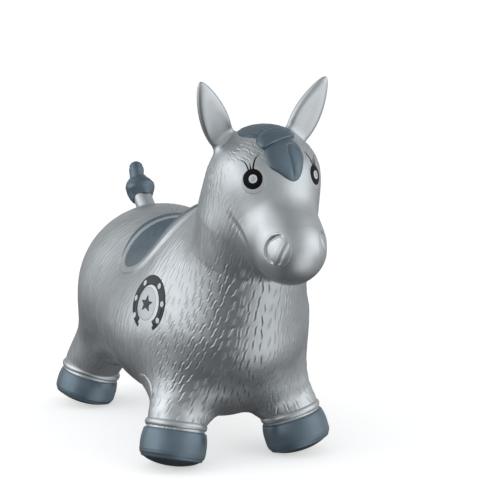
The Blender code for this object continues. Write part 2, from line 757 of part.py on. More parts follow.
def make_mane(forelock_room):
    top = Vector(MANE_TOP_AT)
    end = Vector(MANE_END_AT)
    middle = (top + end) / 2.0
    down_the_neck = (end - top).normalized()
    outward = Vector((1.0, 0.0, 0.0)).cross(down_the_neck)
    outline = ellipse(MANE_HALF_WIDTH, (end - top).length / 2.0)
    form = outline_prism("mane_outline", outline, middle, outward, down_the_neck, (-OVERRUN, NECK_TOP_RADIUS))
    skin_layer("mane", form, MANE_THICKNESS, SLATE, forelock_room)


def make_eye(side_name, side):
    centre, outward = on_skin(mirrored(EYE_AT, side))
    outline = ellipse(EYE_RADIUS, EYE_RADIUS)
    form = outline_prism(f"eye_outline_{side_name}", outline, centre, outward, -DOWN, (-EYE_RADIUS, OVERRUN))
    skin_layer(f"eye_{side_name}", form, EYE_THICKNESS, BLACK)


def make_nostril(side_name, side):
    """Raised rim round a shallow nostril."""
    centre, outward = on_skin(mirrored(NOSTRIL_AT, side))
    reach = (-NOSTRIL_HALF_HEIGHT, OVERRUN)
    outline = ellipse(NOSTRIL_HALF_WIDTH, NOSTRIL_HALF_HEIGHT)
    outer = outline_prism(f"nostril_outline_{side_name}", outline, centre, outward, -DOWN, reach)
    outline = ellipse(NOSTRIL_HALF_WIDTH - NOSTRIL_RIM_WIDTH, NOSTRIL_HALF_HEIGHT - NOSTRIL_RIM_WIDTH)
    inner = outline_prism(f"nostril_inside_{side_name}", outline, centre, outward, -DOWN, reach)
    skin_layer(f"nostril_{side_name}", outer, NOSTRIL_RIM_HEIGHT, SILVER, inner)


def shoe_outline():
    """Horseshoe, open below: out along one edge and back along the other."""
    outside = []
    inside = []
    half_turn = math.pi - SHOE_OPENING_ANGLE / 2.0
    for index in range(OUTLINE_STEPS):
        angle = half_turn * (2.0 * index / (OUTLINE_STEPS - 1) - 1.0)
        outside.append((SHOE_HALF_WIDTH * math.sin(angle), SHOE_HALF_HEIGHT * math.cos(angle)))
        width = SHOE_HALF_WIDTH - SHOE_BAND_WIDTH
        height = SHOE_HALF_HEIGHT - SHOE_BAND_WIDTH
        inside.append((width * math.sin(angle), height * math.cos(angle)))
    return outside[::-1] + inside


def star_outline():
    points = []
    for index in range(10):
        radius = STAR_RADIUS if index % 2 == 0 else STAR_RADIUS * STAR_INNER_SHARE
        angle = -math.pi * index / 5.0
        points.append((radius * math.sin(angle), radius * math.cos(angle)))
    return points


def make_badge(side_name, side):
    """Horseshoe with a star inside it on one flank."""
    centre, outward = on_skin(mirrored(BADGE_AT, side))
    reach = (-SHOE_HALF_WIDTH, OVERRUN)
    shoe = outline_prism(f"shoe_outline_{side_name}", shoe_outline(), centre, outward, -DOWN, reach)
    skin_layer(f"horseshoe_{side_name}", shoe, BADGE_THICKNESS, DARK)
    star = outline_prism(f"star_outline_{side_name}", star_outline(), centre, outward, -DOWN, reach)
    skin_layer(f"star_{side_name}", star, BADGE_THICKNESS, DARK)


def belly_bottom():
    """Lowest point of the belly between the front and rear hooves, where the valve sits."""
    along = np.linspace(FRONT_HOOF_AT[1], REAR_HOOF_AT[1], BELLY_SAMPLES)
    below = np.full_like(along, BELLY_AT[2] - BELLY_RADII[2])
    places = settled(np.column_stack([np.zeros_like(along), along, below]))
    return Vector(places[places[:, 2].argmin()])


def make_valve():
    bottom = belly_bottom()
    outline = ellipse(VALVE_PATCH_RADIUS, VALVE_PATCH_RADIUS)
    forward = Vector((0.0, -1.0, 0.0))
    form = outline_prism("valve_patch_outline", outline, bottom, DOWN, forward, (-OVERRUN, OVERRUN))
    room = drum("flange_room", bottom - DOWN * OVERRUN, DOWN, SEAT_FLANGE_RADIUS + JOINT_GAP,
                2.0 * OVERRUN, VALVE_STEPS)
    skin_layer("valve_patch", form, VALVE_PATCH_THICKNESS, SILVER, room)
    seat_profile = [
        (SEAT_COLLAR_RADIUS, SEAT_LENGTH),
        (SEAT_COLLAR_RADIUS, -JOINT_GAP),
        (SEAT_FLANGE_RADIUS, -JOINT_GAP),
        (SEAT_FLANGE_RADIUS, -JOINT_GAP - SEAT_FLANGE_THICKNESS),
        (SEAT_BORE_RADIUS, -JOINT_GAP - SEAT_FLANGE_THICKNESS),
        (SEAT_BORE_RADIUS, SEAT_LENGTH),
    ]
    seat = add_object("valve_seat", turned_mesh(seat_profile, VALVE_STEPS), SILVER)
    seat.location = bottom
    stem_radius = SEAT_BORE_RADIUS - PLUG_CLEARANCE
    head_top = -2.0 * JOINT_GAP - SEAT_FLANGE_THICKNESS
    head_bottom = head_top - PLUG_HEAD_THICKNESS
    plug_profile = [
        (0.0, head_top + PLUG_STEM_LENGTH),
        (PLUG_TIP_RADIUS, head_top + PLUG_STEM_LENGTH),
        (stem_radius, head_top + PLUG_STEM_LENGTH * PLUG_TIP_SHARE),
        *[(stem_radius - PLUG_GROOVE_DEPTH * depth, head_top + PLUG_STEM_LENGTH * rise)
          for rise, depth in PLUG_GROOVE_SHARES],
        (stem_radius, head_top),
        (PLUG_HEAD_RADIUS, head_top),
        (PLUG_HEAD_RADIUS, head_bottom + PLUG_HEAD_THICKNESS / 3.0),
        (PLUG_HEAD_RADIUS * PLUG_EDGE_SHARE, head_bottom),
        (0.0, head_bottom),
    ]
    plug = add_object("valve_plug", turned_mesh(plug_profile, VALVE_STEPS), PLUG)
    plug.location = bottom


def make_floor():
    """Block below the ground that cuts the soles flat."""
    return block_beyond("ground", (0.0, 0.0, 0.0), DOWN, 0.0)


def build():
    make_torso()
    make_neck()
    make_head()
    floor = make_floor()
    for end in LEGS:
        for side_name, side in SIDES.items():
            make_leg(end, side_name, side)
            make_hoof(end, side_name, side, floor)
    make_tail()
    make_saddle()
    make_mane(make_forelock())
    for side_name, side in SIDES.items():
        make_ear(side_name, side)
        make_eye(side_name, side)
        make_nostril(side_name, side)
        make_badge(side_name, side)
    make_valve()


build()
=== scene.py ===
"""Looks of the inflatable bouncy horse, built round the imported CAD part.

Lengths are metres.  The horse faces -Y and its own right side is at -X, as in the CAD part.
The moulded skin is blended from lobes close to those of the CAD solids, with a fuller breast,
and is fine enough for its fur strokes.  Painted and raised areas are patches that follow it.
"""
import math
from contextlib import contextmanager

import bmesh
import bpy
import numpy as np
from mathutils import Matrix, Vector, kdtree


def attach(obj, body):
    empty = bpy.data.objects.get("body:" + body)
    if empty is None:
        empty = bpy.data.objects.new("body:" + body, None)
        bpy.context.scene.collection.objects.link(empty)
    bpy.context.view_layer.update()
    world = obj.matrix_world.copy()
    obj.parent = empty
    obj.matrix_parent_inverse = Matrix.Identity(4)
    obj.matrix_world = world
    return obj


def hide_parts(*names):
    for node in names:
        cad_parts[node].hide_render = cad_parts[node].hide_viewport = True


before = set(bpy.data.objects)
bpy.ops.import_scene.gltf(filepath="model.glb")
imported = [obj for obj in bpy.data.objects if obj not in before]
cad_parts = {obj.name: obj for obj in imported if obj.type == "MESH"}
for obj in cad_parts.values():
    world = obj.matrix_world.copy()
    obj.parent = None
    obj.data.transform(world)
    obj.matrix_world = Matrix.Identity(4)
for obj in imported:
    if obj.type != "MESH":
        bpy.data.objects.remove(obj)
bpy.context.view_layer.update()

SIDES = {"right": -1.0, "left": 1.0}
FRONT = Vector((0.0, -1.0, 0.0))
UP = Vector((0.0, 0.0, 1.0))

# Lobes of the moulded skin as centre and radii; all of it is given for the left side
ELLIPSOIDS = {
    "rump": ((0.0, 0.158, 0.176), (0.1192, 0.127, 0.121)),
    "belly": ((0.0, 0.0225, 0.163), (0.1312, 0.148, 0.1078)),
    "chest": ((0.0, -0.0474, 0.1938), (0.1041, 0.0980, 0.1400)),
    "skull": ((0.0, -0.176, 0.383), (0.066, 0.0685, 0.0525)),
    "muzzle": ((0.0, -0.2485, 0.3065), (0.0385, 0.046, 0.0415)),
}
NECK_BASE_AT = (0.0, -0.1325, 0.280)
NECK_BASE_RADIUS = 0.074
TAIL_ROOT_AT = (0.0, 0.2035, 0.268)
TUFT_BASE_AT = (0.0, 0.2395, 0.2955)
TAIL_STALK_RADIUS = 0.0132

# Legs and hooves: middle of the sole on the floor, lean outward and forward in degrees
LEGS = {
    "front": {
        "hoof_at": (0.0821, -0.0835, 0.0), "tilt": 14.2, "rake": 12.4, "tallness": 1.0,
        "root_at": (0.0455, -0.0642, 0.1002), "root_radius": 0.0486,
        "ankle_radius": 0.0376, "blend": 0.0455,
    },
    "rear": {
        "hoof_at": (0.0780, 0.2528, 0.0), "tilt": 16.5, "rake": -4.0, "tallness": 0.90,
        "root_at": (0.0516, 0.1588, 0.1732), "root_radius": 0.047,
        "ankle_radius": 0.0395, "blend": 0.026,
    },
}
ANKLE_LENGTH = 0.018
HOOF_TOP_RADIUS = 0.0400
HOOF_WALL_RADIUS = 0.0430
HOOF_WIDEST_SHARE = 0.62
HOOF_CORNER_RADIUS = 0.0427
HOOF_CORNER_DROP = 0.0290
HOOF_DOME_DEPTH = 0.0172
HOOF_RIB_AT = 0.30
HOOF_RIB_HEIGHT = 0.0010
HOOF_DARK_AT = 0.52
SOLE_FLAT_DEPTH = 0.002
SOLE_INSET = 0.001
HOOF_STEPS = 96

# How far neighbouring lobes blend into each other
BARREL_BLEND = 0.0445
NECK_BLEND = 0.0385
FACE_BLEND = 0.0255
HEAD_BLEND = 0.026
EAR_BLEND = 0.012
EAR_GROOVE_BLEND = 0.009
TAIL_BLEND = 0.006
LEG_BLEND_RISE = 0.052
LEAST_BLEND_SHARE = 0.15

# Ears: leaves that taper to the tip, with a groove in front
EAR_ROOT_AT = (0.0425, -0.158, 0.412)
EAR_TIP_AT = (0.0837, -0.174, 0.500)
EAR_RADII = (0.0203, 0.0115)
EAR_TAPER_SHARE = 0.42
EAR_GROOVE_RADII = (0.0155, 0.0066)
EAR_GROOVE_SHIFT = 0.0118

# How fine the skin is, and how its vertices are brought onto it
COARSE_FACET = 0.008
FINE_FACET = 0.0030
SETTLE_STEPS = 3
LEAST_SLOPE_SHARE = 0.25
SLOPE_STEP = 0.0002
CAST_STEPS = 24
CAST_SHARE = 0.8
CAST_FROM = 0.03
ON_SKIN_REACH = 0.02


def vector(values):
    return np.array(values, dtype=float)


def smooth_step(value, low, high):
    share = np.clip((value - low) / (high - low), 0.0, 1.0)
    return share * share * (3.0 - 2.0 * share)


def dent(distance, width):
    """Bell curve: 1 at distance 0, fading over the width."""
    return np.exp(-(distance / width) ** 2)


def folded_points(points):
    """Points with those of the right side mirrored to the left."""
    folded = np.array(points, dtype=float)
    folded[:, 0] = np.abs(folded[:, 0])
    return folded


def mirrored(point, side):
    return Vector((side * point[0], point[1], point[2]))


# Distances to the lobes, negative inside

def ellipsoid_distance(points, centre, radii):
    offset = points - vector(centre)
    radii = vector(radii)
    outward = np.linalg.norm(offset / radii, axis=1)
    slope = np.linalg.norm(offset / radii ** 2, axis=1)
    return outward * (outward - 1.0) / np.maximum(slope, 1e-9)


def rod_distance(points, start, end, start_radius, end_radius):
    start = vector(start)
    along = vector(end) - start
    share = np.clip((points - start) @ along / (along @ along), 0.0, 1.0)
    nearest = start + share[:, None] * along
    return (np.linalg.norm(points - nearest, axis=1) - start_radius
            - share * (end_radius - start_radius))


def leaf_axes():
    """Root, unit directions along, across and backward, and length of the left ear."""
    root = Vector(EAR_ROOT_AT)
    tip = Vector(EAR_TIP_AT)
    along = (tip - root).normalized()
    across = along.cross(FRONT).normalized()
    return root, along, across, along.cross(across), (tip - root).length


def leaf_distance(points, radii=EAR_RADII, forward=0.0):
    """Distance to a leaf along the ear's axis, moved forward."""
    root, along, across, backward, length = leaf_axes()
    offset = points - vector(root - backward * forward)
    height = offset @ vector(along)
    narrow = 1.0 - EAR_TAPER_SHARE * np.clip(height / length, 0.0, 1.0) ** 2
    local = np.column_stack([
        offset @ vector(across) / narrow,
        offset @ vector(backward) / narrow,
        height - length / 2.0,
    ])
    return ellipsoid_distance(local, (0.0, 0.0, 0.0), (*radii, length / 2.0))


def blended(first, second, reach):
    share = np.clip(0.5 + 0.5 * (second - first) / reach, 0.0, 1.0)
    return second * (1.0 - share) + first * share - reach * share * (1.0 - share)


def hoof_outline(tallness):
    """Outside of a hoof as (radius, drop below its top): barrel wall, domed sole, thin rib."""
    outline = [(HOOF_TOP_RADIUS - 0.0010, 0.0), (HOOF_TOP_RADIUS, 0.0008)]
    widest = HOOF_WIDEST_SHARE
    for share in np.linspace(0.06, 1.0, 20):
        swell = math.sin(math.pi * min(share, widest) / (2.0 * widest)) ** 0.8
        radius = HOOF_TOP_RADIUS + (HOOF_WALL_RADIUS - HOOF_TOP_RADIUS) * swell
        if share > widest:
            past = (share - widest) / (1.0 - widest)
            radius += (HOOF_CORNER_RADIUS - HOOF_WALL_RADIUS) * past ** 2
        outline.append((radius, HOOF_CORNER_DROP * share))
    for share in np.linspace(0.02, 1.0, 44):
        angle = share * math.pi / 2.0
        rib = HOOF_RIB_HEIGHT * math.exp(-((share - HOOF_RIB_AT) / 0.045) ** 2)
        lip = 0.0005 * math.exp(-share / 0.05)
        radius = HOOF_CORNER_RADIUS * math.cos(angle) ** 0.97 - lip + rib
        drop = HOOF_CORNER_DROP + HOOF_DOME_DEPTH * math.sin(angle) ** 1.06 + rib / 2.0
        outline.append((radius, drop))
    outline[-1] = (0.0, outline[-1][1])
    return [(radius, drop * tallness) for radius, drop in outline]


def hoof_top(floor_point, axis, tallness):
    """Centre of a hoof's top ring over floor_point, set so that its sole is cut by the floor."""
    sine = math.sqrt(1.0 - axis.z ** 2)
    lowest = max(drop * -axis.z + radius * sine for radius, drop in hoof_outline(tallness))
    return Vector(floor_point) + UP * (lowest - SOLE_FLAT_DEPTH)


# Rods of the skin as start, end and their radii, and each hoof's top and axis
RODS = {
    "breast": (NECK_BASE_AT, (0.0, -0.1061, 0.1875), NECK_BASE_RADIUS, 0.0774),
    "neck": (NECK_BASE_AT, (0.0, -0.154, 0.3285), NECK_BASE_RADIUS, 0.0745),
    "face": (ELLIPSOIDS["skull"][0], ELLIPSOIDS["muzzle"][0], 0.0563, 0.0375),
}
HOOVES = {}
for end_name, leg in LEGS.items():
    lean, rake = math.radians(leg["tilt"]), math.radians(leg["rake"])
    axis = -Vector((-math.tan(lean), math.tan(rake), 1.0)).normalized()
    top = hoof_top(leg["hoof_at"], axis, leg["tallness"])
    ankle_top = top - axis * ANKLE_LENGTH
    thin = leg["ankle_radius"]
    HOOVES[end_name] = (top, axis)
    RODS[f"{end_name}_leg"] = (leg["root_at"], ankle_top, leg["root_radius"], thin)
    RODS[f"{end_name}_ankle"] = (ankle_top, top, thin, thin)
RODS["tail"] = (TAIL_ROOT_AT, TUFT_BASE_AT, TAIL_STALK_RADIUS, TAIL_STALK_RADIUS)
FRONT_HOOF_HEIGHT = HOOVES["front"][0].z


def skin_distance(points):
    """Distance of points from the outside of the moulded skin."""
    folded = folded_points(points)
    near = {name: ellipsoid_distance(folded, *shape) for name, shape in ELLIPSOIDS.items()}
    near.update({name: rod_distance(folded, *shape) for name, shape in RODS.items()})
    barrel = blended(near["rump"], near["belly"], BARREL_BLEND)
    barrel = blended(barrel, near["chest"], BARREL_BLEND)
    body = blended(barrel, np.minimum(near["neck"], near["breast"]), NECK_BLEND)
    rise = np.clip((folded[:, 2] - FRONT_HOOF_HEIGHT) / LEG_BLEND_RISE, 0.0, 1.0)
    blend_share = LEAST_BLEND_SHARE + (1.0 - LEAST_BLEND_SHARE) * rise * rise * (3.0 - 2.0 * rise)
    for end, leg in LEGS.items():
        limb = np.minimum(near[f"{end}_leg"], near[f"{end}_ankle"])
        body = blended(body, limb, leg["blend"] * blend_share)
    head = blended(near["skull"], near["face"], FACE_BLEND)
    head = blended(head, near["muzzle"], FACE_BLEND)
    skin = blended(body, head, HEAD_BLEND)
    groove = leaf_distance(folded, EAR_GROOVE_RADII, EAR_GROOVE_SHIFT)
    ear = -blended(-leaf_distance(folded), groove, EAR_GROOVE_BLEND)
    skin = blended(skin, ear, EAR_BLEND)
    return blended(skin, near["tail"], TAIL_BLEND)


def skin_slope(points):
    slope = np.empty_like(points)
    for axis in range(3):
        shift = np.zeros(3)
        shift[axis] = SLOPE_STEP
        rise = skin_distance(points + shift) - skin_distance(points - shift)
        slope[:, axis] = rise / (2.0 * SLOPE_STEP)
    return slope


def outward_at(points):
    slope = skin_slope(points)
    return slope / np.linalg.norm(slope, axis=1)[:, None]


def settled(points, reach):
    """Points moved along the slope onto the skin, at most reach at each step."""
    for _ in range(SETTLE_STEPS):
        slope = skin_slope(points)
        move = skin_distance(points) / np.maximum((slope ** 2).sum(axis=1), LEAST_SLOPE_SHARE)
        points = points - np.clip(move, -reach, reach)[:, None] * slope
    return points


def on_skin(point):
    return Vector(settled(np.array([point], dtype=float), ON_SKIN_REACH)[0])


def cast(points, direction):
    """Points moved along a fixed direction onto the skin, from outside."""
    direction = vector(direction)
    for _ in range(CAST_STEPS):
        points = points + skin_distance(points)[:, None] * direction * CAST_SHARE
    return points


# Meshes and objects

@contextmanager
def editing(mesh):
    """A bmesh form of mesh, written back to it at the end."""
    form = bmesh.new()
    form.from_mesh(mesh)
    yield form
    form.to_mesh(mesh)
    form.free()


def link_to_scene(piece):
    bpy.context.scene.collection.objects.link(piece)
    return piece


def add_object(name, mesh, paint):
    piece = link_to_scene(bpy.data.objects.new(name, mesh))
    mesh.materials.clear()
    mesh.materials.append(paint)
    mesh.polygons.foreach_set("use_smooth", [True] * len(mesh.polygons))
    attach(piece, "horse")
    return piece


def mesh_of(points, faces, name="form"):
    mesh = bpy.data.meshes.new(name)
    mesh.from_pydata([tuple(point) for point in points], [], faces)
    mesh.update()
    return mesh


def place_array(mesh):
    places = np.empty(3 * len(mesh.vertices))
    mesh.vertices.foreach_get("co", places)
    return places.reshape(-1, 3)


def set_places(mesh, places):
    mesh.vertices.foreach_set("co", np.ascontiguousarray(places).ravel())
    mesh.update()


def seal(mesh, weld):
    """Welds doubled vertices, fills open rims and turns the faces outward."""
    with editing(mesh) as form:
        bmesh.ops.remove_doubles(form, verts=form.verts, dist=weld)
        rims = [edge for edge in form.edges if edge.is_boundary]
        if rims:
            bmesh.ops.holes_fill(form, edges=rims, sides=0)
        bmesh.ops.recalc_face_normals(form, faces=form.faces[:])


def modified(mesh, kind, **settings):
    """Copy of mesh with one modifier applied."""
    holder = link_to_scene(bpy.data.objects.new("holder", mesh))
    change = holder.modifiers.new("change", kind)
    for name, value in settings.items():
        setattr(change, name, value)
    depsgraph = bpy.context.evaluated_depsgraph_get()
    made = bpy.data.meshes.new_from_object(holder.evaluated_get(depsgraph))
    bpy.data.objects.remove(holder, do_unlink=True)
    return made


def relaxed(mesh, reach, rounds=0):
    """The mesh settled onto the skin, after rounds that spread its vertices evenly."""
    points = place_array(mesh)
    edges = np.empty(2 * len(mesh.edges), dtype=np.int64)
    mesh.edges.foreach_get("vertices", edges)
    edges = edges.reshape(-1, 2)
    count = len(points)
    valence = np.bincount(edges.ravel(), minlength=count)[:, None]
    for _ in range(rounds):
        points = settled(points, reach)
        total = np.column_stack([
            np.bincount(edges[:, 0], points[edges[:, 1], axis], count)
            + np.bincount(edges[:, 1], points[edges[:, 0], axis], count) for axis in range(3)])
        points = (points + total / valence) / 2.0
    set_places(mesh, settled(points, reach))
    return mesh


def ball_form():
    """Unit ball as points and faces, its poles on Z."""
    form = bmesh.new()
    bmesh.ops.create_uvsphere(form, u_segments=32, v_segments=20, radius=1.0)
    points = vector([vertex.co for vertex in form.verts])
    faces = [tuple(vertex.index for vertex in face.verts) for face in form.faces]
    form.free()
    return points, faces


BALL_POINTS, BALL_FACES = ball_form()


def ear_points():
    """The left ear without its groove, shaped from the unit ball."""
    root, along, across, backward, length = leaf_axes()
    share = (BALL_POINTS[:, 2] + 1.0) / 2.0
    narrow = 1.0 - EAR_TAPER_SHARE * share ** 2
    return (vector(root) + np.outer(length * share, vector(along))
            + np.outer(BALL_POINTS[:, 0] * EAR_RADII[0] * narrow, vector(across))
            + np.outer(BALL_POINTS[:, 1] * EAR_RADII[1] * narrow, vector(backward)))


def joined_mesh(clouds):
    """One mesh of balls that were moved and stretched; mirrored ones are turned right side out."""
    points = []
    faces = []
    for cloud, is_mirrored in clouds:
        start = len(points) * len(BALL_POINTS)
        points.append(cloud)
        for face in BALL_FACES:
            corners = tuple(index + start for index in face)
            faces.append(corners[::-1] if is_mirrored else corners)
    return mesh_of(np.vstack(points), faces)


def body_clouds():
    clouds = [(vector(centre) + BALL_POINTS * vector(radii), False)
              for centre, radii in ELLIPSOIDS.values()]
    for start, end, start_radius, end_radius in RODS.values():
        for share in np.linspace(0.0, 1.0, 7):
            centre = vector(Vector(start).lerp(Vector(end), share))
            radius = start_radius + share * (end_radius - start_radius)
            for side in SIDES.values():
                clouds.append((centre * (side, 1.0, 1.0) + BALL_POINTS * radius, False))
    return clouds


def skin_mesh():
    """Closed fine mesh of the skin, ears and tail stalk."""
    coarse = modified(joined_mesh(body_clouds()), 'REMESH', mode='VOXEL', voxel_size=COARSE_FACET)
    coarse = relaxed(coarse, COARSE_FACET, 4)
    ears = [(ear_points() * (side, 1.0, 1.0), side < 0.0) for side in SIDES.values()]
    with editing(coarse) as form:
        form.from_mesh(joined_mesh(ears))
    fine = modified(coarse, 'REMESH', mode='VOXEL', voxel_size=FINE_FACET)
    fine = relaxed(fine, FINE_FACET, 2)
    fine = relaxed(modified(fine, 'SUBSURF', levels=1, render_levels=1), FINE_FACET)
    halve_near_detail(fine)
    return relaxed(fine, FINE_FACET)


def halve_near_detail(mesh):
    """Halves the faces where bold or short strokes and moulded lines are pressed in."""
    places = place_array(mesh)
    weights = fur_weights(places)
    chosen = (weights["bold"] + weights["short"] > 0.05) | near_face_lines(places)
    with editing(mesh) as form:
        edges = [edge for edge in form.edges
                 if chosen[edge.verts[0].index] and chosen[edge.verts[1].index]]
        bmesh.ops.subdivide_edges(form, edges=edges, cuts=1, use_grid_fill=True)


# Materials

class Tree:
    """Node tree of a new material or world."""

    def __init__(self, owner):
        owner.use_nodes = True
        self.nodes = owner.node_tree.nodes
        self.links = owner.node_tree.links

    def fill(self, node, values):
        """Sets the node's inputs, or links those that are given as another node's output."""
        for name, value in values.items():
            socket = node.inputs[name]
            if isinstance(value, bpy.types.NodeSocket):
                self.links.new(value, socket)
            elif socket.type == 'RGBA':
                socket.default_value = (*value, 1.0)
            else:
                socket.default_value = value

    def add(self, kind, output, values, **settings):
        node = self.nodes.new(kind)
        for name, value in settings.items():
            setattr(node, name, value)
        self.fill(node, values)
        return node.outputs[output]

    def object_place(self):
        return self.add("ShaderNodeTexCoord", "Object", {})

    def noise(self, place, scale, detail, roughness=0.5):
        return self.add("ShaderNodeTexNoise", "Fac", {
            "Vector": place, "Scale": scale, "Detail": detail, "Roughness": roughness})

    def mix(self, kind, factor, first, second):
        return self.add("ShaderNodeMix", 2, {0: factor, 6: first, 7: second},
                        data_type='RGBA', blend_type=kind)

    def bump(self, height, strength, distance, **before):
        return self.add("ShaderNodeBump", "Normal", {
            "Height": height, "Strength": strength, "Distance": distance, **before})

    def ramp(self, factor, stops):
        node = self.nodes.new("ShaderNodeValToRGB")
        elements = node.color_ramp.elements
        while len(elements) < len(stops):
            elements.new(0.5)
        for element, (position, colour) in zip(elements, stops):
            element.position = position
            element.color = (*colour, 1.0)
        self.fill(node, {"Fac": factor})
        return node.outputs["Color"]

    def grey_ramp(self, factor, low, high):
        return self.ramp(factor, [(0.35, (low,) * 3), (0.65, (high,) * 3)])


def new_material(name):
    made = bpy.data.materials.new(name)
    tree = Tree(made)
    return made, tree, tree.nodes["Principled BSDF"]


def painted(name, colour, shade, metallic, roughness, coat=0.0, specular=0.5):
    """Sprayed paint on soft vinyl: cloudy colour, uneven gloss and a fine grain."""
    made, tree, shader = new_material(name)
    place = tree.object_place()
    cloud = tree.noise(place, 14.0, 5.0, 0.6)
    smear = tree.noise(place, 60.0, 4.0)
    grain = tree.noise(place, 2600.0, 3.0)
    tree.fill(shader, {
        "Base Color": tree.ramp(cloud, [(0.3, shade), (0.7, colour)]),
        "Roughness": tree.grey_ramp(smear, roughness - 0.05, roughness + 0.06),
        "Normal": tree.bump(grain, 0.06, 0.0003),
        "Metallic": metallic, "Specular IOR Level": specular,
        "Coat Weight": coat, "Coat Roughness": 0.25,
    })
    return made


def silver_skin():
    """Silver paint over the moulded skin, with painted shade along the strokes' grooves."""
    made, tree, shader = new_material("silver_skin")
    place = tree.object_place()
    cloud = tree.noise(place, 9.0, 6.0, 0.62)
    smear = tree.noise(place, 55.0, 4.0)
    grain = tree.noise(place, 2400.0, 3.0)
    ripple = tree.bump(tree.noise(place, 130.0, 4.0), 0.10, 0.0012)
    base = tree.ramp(cloud, [(0.25, (0.50, 0.535, 0.555)), (0.75, (0.61, 0.645, 0.665))])
    # painted shade: the per-vertex attribute mixes a dark blue-grey into the silver along the
    # strokes' grooves
    cut = tree.add("ShaderNodeAttribute", "Fac", {}, attribute_name="cut")
    tree.fill(shader, {
        "Base Color": tree.mix('MIX', cut, base, (0.10, 0.115, 0.13)),
        "Roughness": tree.grey_ramp(smear, 0.33, 0.41),
        "Normal": tree.bump(grain, 0.08, 0.0003, Normal=ripple),
        "Metallic": 0.86,
    })
    return made


SILVER = silver_skin()
SLATE = painted("slate_paint", (0.158, 0.218, 0.268), (0.110, 0.157, 0.197), 0.50, 0.33, 0.18)
SOLE = painted("sole_paint", (0.055, 0.065, 0.075), (0.035, 0.042, 0.05), 0.15, 0.5)
DARK = painted("dark_print", (0.036, 0.048, 0.058), (0.024, 0.033, 0.041), 0.15, 0.42)
PALE = painted("pale_print", (0.56, 0.61, 0.64), (0.47, 0.52, 0.55), 0.5, 0.42)
BLACK = painted("eye_black", (0.0040, 0.0040, 0.0048), (0.0030, 0.0030, 0.0038), 0.0, 0.40,
                specular=0.12)
WHITE = painted("eye_white", (0.80, 0.82, 0.84), (0.72, 0.75, 0.78), 0.0, 0.25, 0.3)
PLUG = painted("plug_white", (0.75, 0.75, 0.73), (0.66, 0.66, 0.64), 0.0, 0.38)


# Patches that follow the skin

def grid_faces(rows, columns, is_ring):
    """Quads of a grid of rows x columns vertices; a ring joins its last column to the first."""
    faces = []
    for row in range(rows - 1):
        for column in range(columns if is_ring else columns - 1):
            after = (column + 1) % columns
            faces.append((row * columns + column, row * columns + after,
                          (row + 1) * columns + after, (row + 1) * columns + column))
    return faces


def tangent_axes(centre, up, outward=None):
    """Outward direction at centre, and unit vectors across and up the patch."""
    outward = Vector(outward or outward_at(np.array([centre]))[0])
    across = Vector(up).cross(outward).normalized()
    return outward, across, outward.cross(across)


def cast_flat(centre, axes, flat):
    """Places on the skin under a flat pattern of (across, up) points round centre."""
    outward, across, upright = (vector(axis) for axis in axes)
    start = vector(centre) + flat[:, :1] * across + flat[:, 1:] * upright
    return cast(start + outward * CAST_FROM, -outward)


def slab(name, places, faces, lift, depth, paint):
    """Closed piece between places lifted off the skin by lift and sunk into it by depth."""
    normals = outward_at(places)
    edges = {edge for face in faces for edge in zip(face, face[1:] + face[:1])}
    rim = sorted(edge for edge in edges if edge[::-1] not in edges)
    count = len(places)
    under = [tuple(index + count for index in reversed(face)) for face in faces]
    sides = [(first, second, second + count, first + count) for first, second in rim]
    points = np.vstack([places + normals * lift[:, None], places - normals * depth])
    mesh = mesh_of(points, faces + under + sides)
    seal(mesh, 1e-6)
    return add_object(name, mesh, paint)


def patch(name, centre, up, outline, rings, height, paint, direction=None,
          depth=0.0015):
    """Closed patch on the skin.  outline is a list of (across, up) points round the centre;
    height(share, across, up) is how far it stands off, from centre (share 0) to edge (1)."""
    centre = on_skin(centre)
    shares = vector(rings)
    outline = vector(outline)
    rows, columns = len(shares), len(outline)
    flat = (shares[:, None, None] * outline[None, :, :]).reshape(-1, 2)
    places = cast_flat(centre, tangent_axes(centre, up, direction), flat)
    lift = height(np.repeat(shares, columns), flat[:, 0], flat[:, 1])
    faces = [*grid_faces(rows, columns, True), tuple(reversed(range(columns)))]
    return slab(name, places, faces, lift, depth, paint)


def strip(name, centre, grid, lift, paint):
    """Closed upright band on the skin.  grid holds rows of (across, up) points round the
    centre; lift(row_share, column_share) is how far it stands off."""
    centre = on_skin(centre)
    grid = vector(grid)
    rows, columns = grid.shape[:2]
    places = cast_flat(centre, tangent_axes(centre, UP), grid.reshape(-1, 2))
    row_share = np.repeat(np.linspace(0.0, 1.0, rows), columns)
    column_share = np.tile(np.linspace(0.0, 1.0, columns), rows)
    return slab(name, places, grid_faces(rows, columns, False), lift(row_share, column_share),
                0.0012, paint)


def curve_through(corners, count, closed=False):
    """Points spread along a smooth curve through corners."""
    corners = vector(corners)
    if closed:
        corners = np.vstack([corners[-1], corners, corners[0], corners[1]])
    else:
        before = 2.0 * corners[0] - corners[1]
        corners = np.vstack([before, corners, 2.0 * corners[-1] - corners[-2]])
    spans = len(corners) - 3
    turns = np.linspace(0.0, spans, count, endpoint=not closed)
    span = np.minimum(turns.astype(int), spans - 1)
    share = (turns - span)[:, None]
    first, second, third, fourth = (corners[span + shift] for shift in range(4))
    return 0.5 * (2.0 * second + (third - first) * share
                  + (2.0 * first - 5.0 * second + 4.0 * third - fourth) * share ** 2
                  + (3.0 * (second - third) + fourth - first) * share ** 3)


